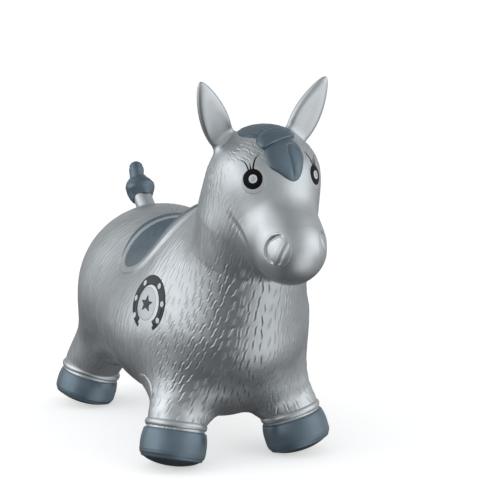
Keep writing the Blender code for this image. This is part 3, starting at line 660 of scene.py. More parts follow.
def line_offset(points, line):
    """Distance of points from a line through corners, share of its length, and offset from it."""
    line = vector(line)
    lengths = np.linalg.norm(line[1:] - line[:-1], axis=1)
    before = np.concatenate([[0.0], np.cumsum(lengths)])
    best = np.full(len(points), 1e9)
    share = np.zeros(len(points))
    offset = np.zeros_like(points)
    for index, (start, end) in enumerate(zip(line, line[1:])):
        along = end - start
        part = np.clip((points - start) @ along / (along @ along), 0.0, 1.0)
        away = points - start - part[:, None] * along
        distance = np.linalg.norm(away, axis=1)
        closer = distance < best
        best = np.where(closer, distance, best)
        share = np.where(closer, (before[index] + part * lengths[index]) / before[-1], share)
        offset = np.where(closer[:, None], away, offset)
    return best, share, offset


def ring_shares(count, edge_count):
    """Shares from near the centre to the edge, closer together near the edge."""
    inner = np.linspace(0.04, 0.86, count)
    outer = np.linspace(0.86, 1.0, edge_count + 1)[1:]
    return np.concatenate([inner, outer])


def ellipse(half_width, half_height, steps):
    angles = np.linspace(0.0, 2.0 * math.pi, steps, endpoint=False)
    return np.column_stack([half_width * np.cos(angles), half_height * np.sin(angles)])


def rounded(share, thickness, edge=0.12):
    """Height of a slab with a rounded rim: full inside, curving down to nothing at share 1."""
    inward = np.clip((1.0 - share) / edge, 0.0, 1.0)
    return thickness * np.sqrt(np.clip(1.0 - (1.0 - inward) ** 2, 0.0, 1.0))


def disc(base, thickness, edge):
    """Height of a printed disc that starts at base above the skin."""
    return lambda share, *_: base + rounded(share, thickness, edge)


# Saddle
SADDLE_HALF_WIDTH = 0.105
SADDLE_WIDEST_AT = (0.0, 0.028, 0.260)
SADDLE_REAR = (0.082, 0.72)
SADDLE_FRONT = (0.094, 0.8)
SADDLE_STEPS = 220


def saddle_share(points):
    """How far out points lie in plan, 1 on the saddle's outline; large below the saddle."""
    along = points[:, 1] - SADDLE_WIDEST_AT[1]
    length, roundness = (np.where(along > 0.0, *pair) for pair in zip(SADDLE_REAR, SADDLE_FRONT))
    power = 2.0 / roundness
    across = np.abs(points[:, 0]) / SADDLE_HALF_WIDTH
    share = (across ** power + np.abs(along / length) ** power) ** (1.0 / power)
    return np.where(points[:, 2] > 0.20, share, 9.0)


def saddle_outline():
    """Outline in plan as (to the right, backward); length and roundness differ rear and front."""
    points = []
    for angle in np.linspace(0.0, 2.0 * math.pi, SADDLE_STEPS, endpoint=False):
        length, roundness = SADDLE_REAR if math.sin(angle) > 0.0 else SADDLE_FRONT
        across = math.copysign(abs(math.cos(angle)) ** roundness, math.cos(angle))
        along = math.copysign(abs(math.sin(angle)) ** roundness, math.sin(angle)) * length
        points.append((-across * SADDLE_HALF_WIDTH, along))
    return vector(points)


def make_saddle():
    def pad_height(share, across, up):
        inner = np.clip((0.915 - share) / 0.016, 0.0, 1.0)
        sway = 5.0 * np.sin(up * 45.0) + 2.0 * np.sin(up * 130.0 + across * 40.0)
        flow = 0.00022 * np.sin(across * 620.0 + sway) * np.clip((0.80 - share) / 0.3, 0.0, 1.0)
        return 0.0012 * inner * inner * (3.0 - 2.0 * inner) + flow - 0.0003 * (share > 0.92)

    rings = np.concatenate([np.linspace(0.03, 0.89, 60), np.linspace(0.895, 0.925, 10)])
    pad = patch("saddle_pad_skin", SADDLE_WIDEST_AT, (0.0, 1.0, 0.0), saddle_outline(),
                rings, pad_height, SLATE, (0.0, 0.0, 1.0))
    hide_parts("saddle_pad")

    shares = np.linspace(0.902, 1.0, 22)
    flat = (shares[:, None, None] * saddle_outline()[None, :, :]).reshape(-1, 2)
    above = np.column_stack([-flat[:, 0], SADDLE_WIDEST_AT[1] + flat[:, 1],
                             np.full(len(flat), 0.45)])
    share = np.repeat(shares, SADDLE_STEPS)
    rise = smooth_step(share, 0.905, 0.922) * (1.0 - smooth_step(share, 0.968, 0.995))
    lift = 0.0023 * rise - 0.0004 * (share > 0.99) - 0.0003 * (share < 0.912)
    edge = slab("saddle_edge_line", cast(above, (0.0, 0.0, -1.0)),
                grid_faces(len(shares), SADDLE_STEPS, True), lift, 0.0015, SILVER)
    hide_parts("saddle_edge")


# Hooves, cuffs and tail tuft

def turned(profile, name):
    """Closed surface turned about Z from (radius, height) points."""
    points = []
    for radius, height in profile:
        for index in range(HOOF_STEPS):
            angle = 2.0 * math.pi * index / HOOF_STEPS
            points.append((radius * math.cos(angle), radius * math.sin(angle), height))
    mesh = mesh_of(points, grid_faces(len(profile), HOOF_STEPS, True), name)
    seal(mesh, 1e-5)
    return mesh


def aimed(mesh, centre, axis):
    turn = axis.to_track_quat('-Z', 'Y').to_matrix().to_4x4()
    mesh.transform(Matrix.Translation(centre) @ turn)
    return mesh


def hoof_mesh(profile, name, top, axis):
    """Turned hoof mesh with what would reach below the floor pressed flat on it."""
    mesh = aimed(turned(profile, name), top, axis)
    places = place_array(mesh)
    places[:, 2] = np.maximum(places[:, 2], 0.0)
    set_places(mesh, places)
    return mesh


def make_hoof(end, side_name, top, axis):
    tallness = LEGS[end]["tallness"]
    outline = [(radius, -drop) for radius, drop in hoof_outline(tallness)]
    dark_height = -tallness * (HOOF_CORNER_DROP + HOOF_DOME_DEPTH * HOOF_DARK_AT)
    split = next(index for index, (_, height) in enumerate(outline) if height < dark_height)
    radius, height = outline[split]
    shell = [*outline[:split + 1], (radius - SOLE_INSET, height), (0.0, height)]
    sole = [(0.0, height + SOLE_INSET), (radius - 2.0 * SOLE_INSET, height + SOLE_INSET),
            (radius - SOLE_INSET / 2.0, height), *outline[split + 1:]]
    hoof = add_object(f"hoof_shell_{end}_{side_name}", hoof_mesh(shell, "hoof", top, axis),
                      SLATE)
    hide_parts(f"hoof_{end}_{side_name}")
    add_object(f"hoof_sole_{end}_{side_name}", hoof_mesh(sole, "sole", top, axis),
               SOLE)


def make_cuff(end, side_name, top, axis):
    """Soft silver roll where the leg ends above the hoof; its lower edge waves a little."""
    ankle = LEGS[end]["ankle_radius"]
    outline = [(ankle - 0.0030, 0.0185)]
    for index in range(17):
        angle = math.pi * index / 16
        outline.append((ankle - 0.0008 + 0.0036 * math.sin(angle),
                        0.0062 + 0.0054 * math.cos(angle)))
    outline.append((ankle - 0.0030, 0.0006))
    mesh = turned(outline, "cuff")
    places = place_array(mesh)
    turn = np.arctan2(places[:, 1], places[:, 0])
    low = np.clip(1.0 - places[:, 2] / 0.012, 0.0, 1.0)
    wave = np.sin(2.0 * turn + SIDES[side_name] * 0.9) * np.cos(turn)
    places[:, 2] += 0.0011 * low * (1.0 + wave)
    set_places(mesh, places)
    add_object(f"cuff_{end}_{side_name}", aimed(mesh, top, axis), SILVER)


# Tuft's middle line, its radius, and shares of it along the line
TUFT_LINE = [Vector(TUFT_BASE_AT), Vector((0.0, 0.2545, 0.3090)), Vector((0.0, 0.2660, 0.3430))]
TUFT_RADIUS = 0.0207
TUFT_RADIUS_SHARES = [
    (0.0, 0.72), (0.12, 0.87), (0.26, 0.98), (0.38, 1.0), (0.50, 0.86), (0.62, 0.62),
    (0.72, 0.51), (0.84, 0.51), (0.93, 0.40), (0.98, 0.22),
]
TUFT_TIP_FROM = 0.90
TUFT_STEPS = 96


def tuft_place(share):
    """Point at a share of the way along the tuft's curved middle line."""
    base, middle, tip = TUFT_LINE
    return base.lerp(middle, share).lerp(middle.lerp(tip, share), share)


def make_tuft():
    """Two rounded locks, one above the other, with a scalloped lower edge round the stalk."""
    shares, widths = zip(*TUFT_RADIUS_SHARES)
    turns = 2.0 * math.pi * np.arange(TUFT_STEPS) / TUFT_STEPS
    cosines, sines = np.cos(turns)[:, None], np.sin(turns)[:, None]
    across = Vector((1.0, 0.0, 0.0))
    tip_shares = TUFT_TIP_FROM + 0.10 * np.sin(np.linspace(0.0, math.pi / 2, 17)[1:])
    rings = []
    for share in np.concatenate([np.linspace(0.0, TUFT_TIP_FROM, 64), tip_shares]):
        course = tuft_place(min(share + 0.01, 1.0)) - tuft_place(max(share - 0.01, 0.0))
        course.normalize()
        upright = vector(course.cross(across))
        width = np.interp(share, shares, widths)
        if share > TUFT_TIP_FROM:
            width = widths[-3] * math.sqrt(max(1.0 - ((share - 0.84) / 0.16) ** 2, 0.0))
        fade = math.sin(math.pi * min(share / 0.9, 1.0))
        swirl = 0.045 * np.sin(3.0 * turns + 9.0 * share) * fade
        notch = 0.10 * dent(share - 0.68 - 0.05 * np.sin(turns + 0.8), 0.035)
        radius = TUFT_RADIUS * width * (1.0 + swirl - notch)
        scallop = 0.0030 * (0.6 - np.cos(3.0 * turns + 1.2)) * max(1.0 - share / 0.16, 0.0)
        rings.append(vector(tuft_place(share))
                     + radius[:, None] * (cosines * vector(across) + sines * upright)
                     - scallop[:, None] * vector(course))
    last = (len(rings) - 1) * TUFT_STEPS
    faces = grid_faces(len(rings), TUFT_STEPS, True)
    faces += [tuple(reversed(range(TUFT_STEPS))), tuple(range(last, last + TUFT_STEPS))]
    mesh = mesh_of(np.vstack(rings), faces)
    seal(mesh, 1e-6)
    tuft_piece = add_object("tail_tuft_skin", mesh, SLATE)
    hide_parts("tail_tuft")


# Eyes: lashes have their corners as (across, up) from the middle, and a width at the root
EYE_AT = (0.0412, -0.2325, 0.3885)
EYE_RADIUS = 0.0122
EYE_SURROUND_RADIUS = 0.0152
EYE_SPOTS = {"dot": (0.0051, 0.0010, WHITE), "glint": (0.0034, 0.00125, PALE)}
LASHES = [
    ([(-0.0005, 0.0110), (-0.0006, 0.0180), (0.0004, 0.0245), (0.0033, 0.0300)], 0.0022),
    ([(-0.0034, 0.0110), (-0.0044, 0.0150), (-0.0058, 0.0190)], 0.0018),
    ([(-0.0062, 0.0105), (-0.0088, 0.0155), (-0.0124, 0.0198), (-0.0168, 0.0224)], 0.0017),
]
LASH_STEPS = 28


def make_eye(side_name, side):
    """Printed eye: pale surround, black disc, white dot with a greyer middle, three lashes."""
    centre = mirrored(EYE_AT, side)
    rings = ring_shares(6, 5)
    across_eye = tangent_axes(on_skin(centre), UP)[1]

    def moved(across, up):
        return on_skin(centre + across_eye * (-side * across) + UP * up)
    patch(f"eye_surround_{side_name}", moved(0.0007, -0.0029), UP,
          ellipse(EYE_SURROUND_RADIUS, EYE_SURROUND_RADIUS, 72), rings,
          disc(0.00005, 0.00035, 0.2), PALE)
    black = patch(f"eye_disc_{side_name}", centre, UP, ellipse(EYE_RADIUS, EYE_RADIUS, 72), rings,
                  disc(0.0004, 0.0006, 1.0), BLACK)
    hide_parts(f"eye_{side_name}")
    for name, (radius, base, paint) in EYE_SPOTS.items():
        patch(f"eye_{name}_{side_name}", moved(0.0006, 0.0002), UP, ellipse(radius, radius, 48),
              rings, disc(base, 0.0002, 0.5), paint)
    for number, (corners, width) in enumerate(LASHES):
        middle = curve_through([(-side * across, up) for across, up in corners], LASH_STEPS)
        course = np.gradient(middle, axis=0)
        normal = np.column_stack([-course[:, 1], course[:, 0]])
        normal /= np.linalg.norm(course, axis=1)[:, None]
        half = width / 2.0 * (1.0 - 0.72 * np.linspace(0.0, 1.0, LASH_STEPS) ** 1.5)
        grid = [middle + normal * (half * place)[:, None] for place in np.linspace(-1.0, 1.0, 5)]
        strip(f"lash_{number}_{side_name}", centre, grid,
              lambda row, column: 0.00022 + 0.0002 * (1.0 - (2.0 * row - 1.0) ** 2),
              BLACK)


# Nostrils: arc in front and slanting ridge, as (across, up) from the middle of the right one
NOSTRIL_AT = (0.0332, -0.280, 0.3107)
NOSTRIL_HALF_SIZE = (0.0185, 0.0205)
NOSTRIL_ARC = [(0.0090, 0.0162), (0.0017, 0.0171), (-0.0090, 0.0111), (-0.0143, 0.0020),
               (-0.0141, -0.0067), (-0.0091, -0.0132), (-0.0030, -0.0172)]
NOSTRIL_RIDGE = [(0.0118, 0.0105), (-0.0004, -0.0165)]
NOSTRIL_PLATE_AXIS = (0.9, -0.3)


def nostril_relief(across, up):
    """Height of the nostril: a grooved arc in front, and a plate rising to a slanting ridge."""
    points = np.column_stack([across, up])
    distance, share, _ = line_offset(points, curve_through(NOSTRIL_ARC, 24))
    ends = smooth_step(share, 0.0, 0.10) * (1.0 - smooth_step(share, 0.90, 1.0))
    groove = -0.0021 * dent(distance, 0.0016) * ends
    start, end = vector(NOSTRIL_RIDGE)
    length = np.linalg.norm(start - end)
    along = (start - end) / length
    beyond = (points - end) @ np.array([along[1], -along[0]])
    along_share = (points - end) @ along / length
    on_ridge = smooth_step(along_share, -0.12, 0.12)
    on_ridge *= 1.0 - smooth_step(along_share, 0.88, 1.12)
    plate = -0.0011 * (1.0 - smooth_step(beyond, -0.0150, -0.0010)) * (beyond < 0.0)
    plate *= smooth_step(points @ vector(NOSTRIL_PLATE_AXIS), -0.0165, -0.0105)
    ridge = 0.0003 * dent(beyond, 0.0012)
    valley = -0.0009 * dent(beyond - 0.0030, 0.0030) * (beyond > 0.0)
    return groove + on_ridge * (ridge + valley + plate)


def make_nostril(side_name, side):
    def height(share, across, up):
        fade = 1.0 - smooth_step(share, 0.80, 0.985)
        return nostril_relief(-side * across, up) * fade + 0.00006
    nostril = patch(f"nostril_{side_name}_rim", mirrored(NOSTRIL_AT, side), UP,
                    ellipse(*NOSTRIL_HALF_SIZE, 128), np.linspace(0.02, 1.0, 56), height, SILVER,
                    depth=0.004)
    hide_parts(f"nostril_{side_name}")


def nostril_share(points):
    """How far out from either nostril's middle points lie, 1 on its edge."""
    centre = on_skin(NOSTRIL_AT)
    outward, across, upright = (vector(axis) for axis in tangent_axes(centre, UP))
    offset = folded_points(points) - vector(centre)
    share = np.hypot(offset @ across / NOSTRIL_HALF_SIZE[0],
                     offset @ upright / NOSTRIL_HALF_SIZE[1])
    return np.where(np.abs(offset @ outward) < 0.02, share, 9.0)


# Forelock and mane, with corners as (across, up) from each area's middle
FORELOCK_AT = (0.0032, -0.2363, 0.4125)
FORELOCK_CORNERS = [(-0.0252, 0.0139), (-0.0273, 0.0045), (-0.0266, -0.0040), (-0.0237, -0.0115),
                    (-0.0160, -0.0186), (-0.0076, -0.0258), (0.0009, -0.0298), (0.0087, -0.0271),
                    (0.0146, -0.0188), (0.0197, -0.0068), (0.0223, 0.0018), (0.0219, 0.0105),
                    (0.0200, 0.0180), (0.0130, 0.0270), (0.0, 0.0290), (-0.0157, 0.0230)]
FORELOCK_HOOK = [(0.0020, 0.0110), (0.0035, 0.0150), (0.0075, 0.0162), (0.0125, 0.0140),
                 (0.0150, 0.0090)]
LOBE_AT = (-0.0021, -0.2172, 0.4313)
LOBE_CORNERS = [(-0.0249, 0.0019), (-0.0241, -0.0053), (-0.0202, -0.0105), (-0.0111, -0.0087),
                (-0.0004, -0.0058), (0.0180, 0.0016), (0.0257, 0.0068), (0.0224, 0.0143),
                (0.0130, 0.0217), (-0.0003, 0.0215), (-0.0143, 0.0152), (-0.0236, 0.0076)]
BROW_UP = (0.0, 1.0, 1.0)
CROWN_AT = (0.0, -0.175, 0.443)
CROWN_CORNERS = [(0.0, -0.036), (0.020, -0.031), (0.031, -0.022), (0.035, -0.006), (0.031, 0.010),
                 (0.022, 0.024), (0.0, 0.032), (-0.022, 0.024), (-0.031, 0.010), (-0.036, -0.006),
                 (-0.033, -0.020), (-0.022, -0.031)]
MANE_TOP_AT = (0.0, -0.182, 0.437)
MANE_END_AT = (0.0, -0.070, 0.335)
MANE_HALF_WIDTH = 0.021


def make_forelock():
    """The broad pointed leaf on the brow and a swept lock above it."""
    def leaf_height(share, across, up):
        split = dent(across - 0.0006, 0.0013) * smooth_step(up, -0.030, -0.020)
        split *= 1.0 - smooth_step(up, 0.006, 0.011)
        facet = smooth_step(across, 0.001, 0.006) * (1.0 - smooth_step(across, 0.007, 0.020))
        points = np.column_stack([across, up])
        distance, _, _ = line_offset(points, curve_through(FORELOCK_HOOK, 24))
        return (rounded(share, 0.0042, 0.45) * (1.0 - 0.22 * split)
                + 0.0007 * facet * (share < 0.97)
                - 0.0011 * dent(distance, 0.0012) * (share < 0.95))
    piece = patch("forelock_leaf", FORELOCK_AT, BROW_UP, curve_through(FORELOCK_CORNERS, 132, True),
                  ring_shares(34, 14), leaf_height, SLATE)
    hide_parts("forelock")

    def lobe_height(share, across, up):
        lines = np.sin(900.0 * (up - 0.28 * across) + 2.2 * np.sin(70.0 * across))
        lines *= smooth_step(up, 0.004, 0.010) * (share < 0.95)
        return rounded(share, 0.0056, 0.34) + 0.00016 * lines
    patch("forelock_lobe", LOBE_AT, BROW_UP, curve_through(LOBE_CORNERS, 132, True),
          ring_shares(30, 14), lobe_height, SLATE)


def combed(wave):
    """Rounded locks side by side, from their wave angle: -0.5 between them to 0.5 on top."""
    return np.abs(np.sin(wave / 2.0)) - 0.5


def make_mane():
    """Combed hair over the crown, and locks that lie to both sides down the neck."""
    def crown_height(share, across, up):
        wave = 820.0 * (0.86 * across + 0.5 * up) + 1.7 * np.sin(80.0 * (across - up))
        fade = 1.0 - smooth_step(share, 0.80, 0.98)
        return rounded(share, 0.0016, 0.45) + 0.0009 * combed(wave) * fade
    patch("mane_crown", CROWN_AT, (0.0, 1.0, 0.0), curve_through(CROWN_CORNERS, 120, True),
          ring_shares(40, 12), crown_height, SLATE, (0.0, 0.0, 1.0))

    def neck_height(share, across, up):
        wave = 520.0 * (up + 0.8 * np.abs(across)) + 1.2 * np.sin(90.0 * across)
        fade = 1.0 - smooth_step(share, 0.82, 0.99)
        relief = 0.0012 * combed(wave) - 0.0008 * dent(across, 0.0016)
        return rounded(share, 0.0038, 0.5) + relief * fade
    top, end = Vector(MANE_TOP_AT), Vector(MANE_END_AT)
    down_the_neck = (end - top).normalized()
    outward = Vector((1.0, 0.0, 0.0)).cross(down_the_neck)
    piece = patch("mane_locks", (top + end) / 2.0, down_the_neck,
                  ellipse(MANE_HALF_WIDTH, (end - top).length / 2.0, 120), ring_shares(60, 12),
                  neck_height, SLATE, outward)
    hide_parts("mane")


# Badge: plain horseshoe with nail heads round a pale field with a star
BADGE_AT = (0.108, -0.060, 0.209)
SHOE_HALF_WIDTH = 0.0322
SHOE_HALF_HEIGHT = 0.0368
SHOE_BAND = 0.0128
SHOE_HALF_TURN = math.pi - math.radians(58.0) / 2.0
SHOE_SHIFT = (0.0022, 0.0008)
SHOE_NAIL_DEGREES = (-128.0, -84.0, -36.0, 36.0, 84.0, 128.0)
STAR_RADII = (0.0112, 0.0050)


def star_outline():
    corners = []
    for corner in range(10):
        radius = STAR_RADII[corner % 2]
        angle = math.pi * corner / 5.0
        corners.append((radius * math.sin(angle), radius * math.cos(angle)))
    return np.concatenate([np.linspace(first, second, 8, endpoint=False)
                           for first, second in zip(corners, corners[1:] + corners[:1])])


def make_badge(side_name, side):
    """Horseshoe, nail heads, field and star, printed on the flank."""
    centre = mirrored(BADGE_AT, side)

    def shoe_point(share, angle):
        inner = SHOE_BAND * share
        flare = 1.0 if share < 0.5 else -1.6
        taper = 1.0 - 0.10 * (np.abs(angle) / SHOE_HALF_TURN) ** 3 * flare
        across = -side * SHOE_SHIFT[0] + (SHOE_HALF_WIDTH - inner) * taper * np.sin(angle)
        return np.stack([across, SHOE_SHIFT[1] + (SHOE_HALF_HEIGHT - inner) * np.cos(angle)],
                        axis=-1)
    angles = np.linspace(-SHOE_HALF_TURN, SHOE_HALF_TURN, 96)
    grid = [shoe_point(share, angles) for share in np.linspace(0.0, 1.0, 9)]

    def shoe_lift(row, column):
        edge = np.minimum(np.minimum(row, 1.0 - row) / 0.12,
                          np.minimum(column, 1.0 - column) / 0.02)
        return 0.00015 + 0.0006 * np.sqrt(np.clip(edge, 0.0, 1.0))
    shoe = strip(f"horseshoe_{side_name}_print", centre, grid, shoe_lift, DARK)
    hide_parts(f"horseshoe_{side_name}")
    middle = on_skin(centre)
    _, across, upright = tangent_axes(middle, UP)
    rings = ring_shares(4, 4)
    for number, degrees in enumerate(SHOE_NAIL_DEGREES):
        place = shoe_point(0.5, np.array(math.radians(degrees)))
        nail = on_skin(middle + across * place[0] + upright * place[1])
        patch(f"horseshoe_nail_{number}_{side_name}", nail, UP, ellipse(0.0030, 0.0038, 32),
              rings, disc(0.0008, 0.0003, 0.5), WHITE)
    patch(f"badge_field_{side_name}", centre, UP, ellipse(0.0172, 0.0215, 64), rings,
          disc(0.00005, 0.00015, 0.2), PALE)
    star = patch(f"star_{side_name}_print", centre, UP, star_outline(), rings,
                 disc(0.0004, 0.0006, 0.15), DARK)
    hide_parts(f"star_{side_name}")


# Lines moulded into the skin: jaw, mouth and a low boss on the belly
JAW_LINE = [(0.0600, -0.2050, 0.350), (0.0575, -0.2090, 0.3409), (0.0522, -0.2158, 0.3300),
            (0.0484, -0.2213, 0.3200), (0.0454, -0.2263, 0.3099), (0.0419, -0.2278, 0.2983)]
MOUTH_LINE = [(0.0, -0.2722, 0.2662), (0.0139, -0.2721, 0.2682), (0.0296, -0.2648, 0.2750),
              (0.0388, -0.2474, 0.2835), (0.0410, -0.2370, 0.2900)]
FACE_LINE_REACH = 0.012
BELLY_BOSS_AT = (0.1065, -0.0480, 0.0930)
BELLY_BOSS_RADIUS = 0.0230
BEHIND_JAW = (0.0, 0.75, -0.35)


def near_face_lines(points):
    """Whether points lie close to the jaw or mouth line."""
    folded = folded_points(points)
    jaw, mouth = (line_offset(folded, line)[0] for line in (JAW_LINE, MOUTH_LINE))
    return np.minimum(jaw, mouth) < FACE_LINE_REACH


def moulded_lines(points):
    """Heights that jaw, mouth, saddle groove, nostril beds and belly boss give every vertex."""
    folded = folded_points(points)
    distance, share, offset = line_offset(folded, JAW_LINE)
    behind = np.where(offset @ vector(BEHIND_JAW) > 0.0, distance, -distance)
    fade = np.sin(math.pi * np.clip(share, 0.0, 1.0)) ** 1.2
    height = fade * (0.0003 * dent(behind + 0.0030, 0.0030)
                     - 0.0010 * dent(behind - 0.0026, 0.0042))
    distance, share, _ = line_offset(folded, MOUTH_LINE)
    height -= 0.0007 * dent(distance, 0.0016) * (1.0 - smooth_step(share, 0.8, 1.0))
    height -= 0.0011 * dent(saddle_share(folded) - 1.010, 0.011)
    height -= 0.0040 * (1.0 - smooth_step(nostril_share(points), 0.90, 0.97))
    boss = np.linalg.norm(folded - vector(BELLY_BOSS_AT), axis=1)
    return height + 0.0008 * (1.0 - smooth_step(boss, BELLY_BOSS_RADIUS - 0.002, BELLY_BOSS_RADIUS))


# Fur: shallow curved strokes pressed into the skin, bold on the chest and fine behind.
# Length, half width, height, spacing along, spacing across and sway of each kind
STROKE_KINDS = {
    "bold": (0.0165, 0.0014, 0.00044, 0.0165, 0.0078, 0.0007),
    "fine": (0.0300, 0.0014, 0.00018, 0.0190, 0.0050, 0.0011),
    "short": (0.0120, 0.0012, 0.00034, 0.0100, 0.0056, 0.0008),
}
STROKE_TRIES = 60000
STROKE_SEED = 7
LEAST_WEIGHT = 0.08


def head_distance(folded):
    skull, muzzle = (ellipsoid_distance(folded, *ELLIPSOIDS[name]) for name in ("skull", "muzzle"))
    return np.minimum(np.minimum(skull, rod_distance(folded, *RODS["face"])), muzzle)


def fur_weights(points):
    """How strongly each kind of stroke shows at points, from 0 to 1."""
    folded = folded_points(points)
    y, z = folded[:, 1], folded[:, 2]
    on_head = 1.0 - smooth_step(head_distance(folded), 0.004, 0.016)
    behind_face = smooth_step(y + 0.35 * (z - 0.36), -0.200, -0.184)
    brow = (smooth_step(z, 0.404, 0.412) * (1.0 - smooth_step(y, -0.196, -0.186))
            * smooth_step(folded[:, 0], 0.020, 0.026) * smooth_step(y, -0.236, -0.228))
    behind_face = np.maximum(behind_face * (1.0 - smooth_step(z, 0.395, 0.405)), brow)
    off_ear = smooth_step(leaf_distance(folded), 0.004, 0.012)
    off_tail = smooth_step(rod_distance(folded, *RODS["tail"]), 0.004, 0.010)
    off_hooves = smooth_step(z, FRONT_HOOF_HEIGHT + 0.007, FRONT_HOOF_HEIGHT + 0.016)
    from_badge = np.linalg.norm(folded - vector(BADGE_AT), axis=1)
    off_badge = 0.25 + 0.75 * smooth_step(from_badge, 0.030, 0.040)
    off_saddle = smooth_step(saddle_share(folded), 0.99, 1.06)
    clear = off_ear * off_tail * off_hooves * off_badge * off_saddle
    front = 1.0 - smooth_step(y, -0.098, -0.066)
    front = np.where(z < 0.13, 1.0 - smooth_step(y, -0.060, -0.020), front)
    front = front * (1.0 - smooth_step(z, 0.272, 0.298))
    return {
        "bold": clear * front * (1.0 - on_head),
        "fine": clear * (1.0 - front) * (1.0 - on_head),
        "short": clear * on_head * behind_face,
    }


def fur_flow(points, normals):
    """Unit directions along which the hair lies: down and back, spreading over the chest."""
    x, y, z = points.T
    ones = np.ones(len(points))
    facing = np.clip(-normals[:, 1], 0.0, 1.0)
    flow = np.column_stack([np.clip(11.0 * x * facing, -0.75, 0.75), 0.45 * ones, -ones])
    brow = (smooth_step(z, 0.398, 0.412) * (1.0 - smooth_step(y, -0.200, -0.180)))[:, None]
    toward_brow = np.column_stack([-0.5 * np.sign(x), -0.6 * ones, -0.7 * ones])
    flow = flow * (1.0 - brow) + toward_brow * brow
    flow -= (flow * normals).sum(axis=1)[:, None] * normals
    return flow / np.maximum(np.linalg.norm(flow, axis=1), 1e-6)[:, None]


def stroke_seeds(points, flow, normals, weight, along_gap, across_gap, chance):
    """Vertices spread over the skin where strokes of one kind lie."""
    order = chance.permutation(np.flatnonzero(weight > LEAST_WEIGHT))[:STROKE_TRIES]
    taken = {}
    seeds = []
    for index in order:
        place = points[index]
        key = tuple((place // along_gap).astype(int))
        close = [other for dx in (-1, 0, 1) for dy in (-1, 0, 1) for dz in (-1, 0, 1)
                 for other in taken.get((key[0] + dx, key[1] + dy, key[2] + dz), ())]
        if close:
            away = points[close] - place
            along = away @ flow[index]
            across = away @ np.cross(normals[index], flow[index])
            if ((along / along_gap) ** 2 + (across / across_gap) ** 2).min() < 1.0:
                continue
        taken.setdefault(key, []).append(index)
        seeds.append(index)
    return seeds


def press_strokes(points, normals):
    """Heights that the strokes give every vertex, and the painted shade along their grooves."""
    chance = np.random.default_rng(STROKE_SEED)
    tree = kdtree.KDTree(len(points))
    for index, place in enumerate(points):
        tree.insert(place, index)
    tree.balance()
    flow = fur_flow(points, normals)
    height = np.zeros(len(points))
    recess_shade = np.zeros(len(points))
    for kind, weight in fur_weights(points).items():
        length, half_width, rise, along_gap, across_gap, sway = STROKE_KINDS[kind]
        for seed in stroke_seeds(points, flow, normals, weight, along_gap, across_gap, chance):
            place = points[seed]
            size = 0.8 + 0.4 * chance.random()
            turn = 0.30 * (chance.random() - 0.5)
            phase = 1.4 * (chance.random() - 0.5)
            run = length * size
            across_flow = np.cross(normals[seed], flow[seed])
            direction = flow[seed] * math.cos(turn) + across_flow * math.sin(turn)
            found = tree.find_range(place, run / 2.0 + 3.0 * half_width)
            near = np.array([index for _, index, _ in found])
            offset = points[near] - place
            along = offset @ direction
            side = 1.0 if place[0] < 0.0 else -1.0
            curve = side * sway * size * np.sin(2.0 * math.pi * along / run + phase)
            across = (offset @ np.cross(normals[seed], direction) - curve) / half_width * side
            fade = np.cos(np.clip(math.pi * along / run, -math.pi / 2.0, math.pi / 2.0))
            strength = weight[seed] * fade ** 0.7 * rise * size
            height[near] += 2.33 * across * np.exp(-across ** 2) * strength
            # painted shade laid along one side of the stroke's groove, where the groove's wall
            # would be in shade
            dark = np.exp(-(across + 0.6) ** 2 / 0.6) * fade * weight[seed]
            recess_shade[near] = np.maximum(recess_shade[near], dark)
    return height, recess_shade


# The whole horse

def make_skin():
    mesh = skin_mesh()
    places = place_array(mesh)
    normals = outward_at(places)
    height, recess_shade = press_strokes(places, normals)
    set_places(mesh, places + normals * (height + moulded_lines(places))[:, None])
    # the strokes' painted shade goes to the silver material as a vertex attribute
    cut = mesh.attributes.new("cut", 'FLOAT', 'POINT')
    cut.data.foreach_set("value", (0.30 * recess_shade).astype(np.float32))
    skin = add_object("moulded_skin", mesh, SILVER)
    legs = [f"leg_{end}_{side_name}" for end in HOOVES for side_name in SIDES]
    ears = [f"ear_{side_name}" for side_name in SIDES]
    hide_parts("torso", "neck", "head", "tail_stalk", *legs, *ears)


def dress_frame():
    """Materials of the CAD nodes that stay in view."""
    for node, paint in (("valve_patch", SILVER), ("valve_seat", SILVER), ("valve_plug", PLUG)):
        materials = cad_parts[node].data.materials
        materials.clear()
        materials.append(paint)


# Camera, light and floor; azimuths of the studio are from the camera's side, in degrees
CAMERA_AZIMUTH = math.radians(-24.238)
CAMERA_ELEVATION = 10.9988
CAMERA_DISTANCE = 2.4056
CAMERA_TARGET = Vector((0.0, -0.1333, 0.270))
CAMERA_FOCAL_PIXELS = 1924.16
CAMERA_CENTRE_PIXEL_Y = 260.1
PICTURE_PIXELS = 500.0
SENSOR_WIDTH = 36.0
STUDIO_MIDDLE = Vector((0.0, 0.0, 0.22))
LIGHT_DISTANCE = 2.0
# Brightness all round the studio as (elevation, level)
STUDIO_LEVELS = [(-90.0, 0.08), (-50.0, 0.03), (-30.0, 0.05), (-15.0, 0.18), (0.0, 0.46),
                 (15.0, 0.50), (35.0, 0.42), (90.0, 0.32)]
# Bright walls and paper as (azimuth, elevation, level)
STUDIO_PANELS = [(-95.0, -35.0, 0.16), (-60.0, 18.0, 0.42), (-95.0, 42.0, 0.46),
                 (45.0, -35.0, 0.80), (45.0, 42.0, 0.10), (85.0, -35.0, 0.18), (85.0, 18.0, 0.44),
                 (85.0, 42.0, 0.20), (120.0, -20.0, 0.20)]
PANEL_FROM = 0.74
PANEL_TO = 0.98
FLOOR_REACH = 60.0
WHITE_LIGHT = (1.0, 1.0, 1.0)


def around(azimuth, elevation):
    """Direction at that azimuth from the camera's side and that elevation, in degrees."""
    turn = CAMERA_AZIMUTH + math.radians(azimuth)
    rise = math.radians(elevation)
    return Vector((math.sin(turn) * math.cos(rise), -math.cos(turn) * math.cos(rise),
                   math.sin(rise)))


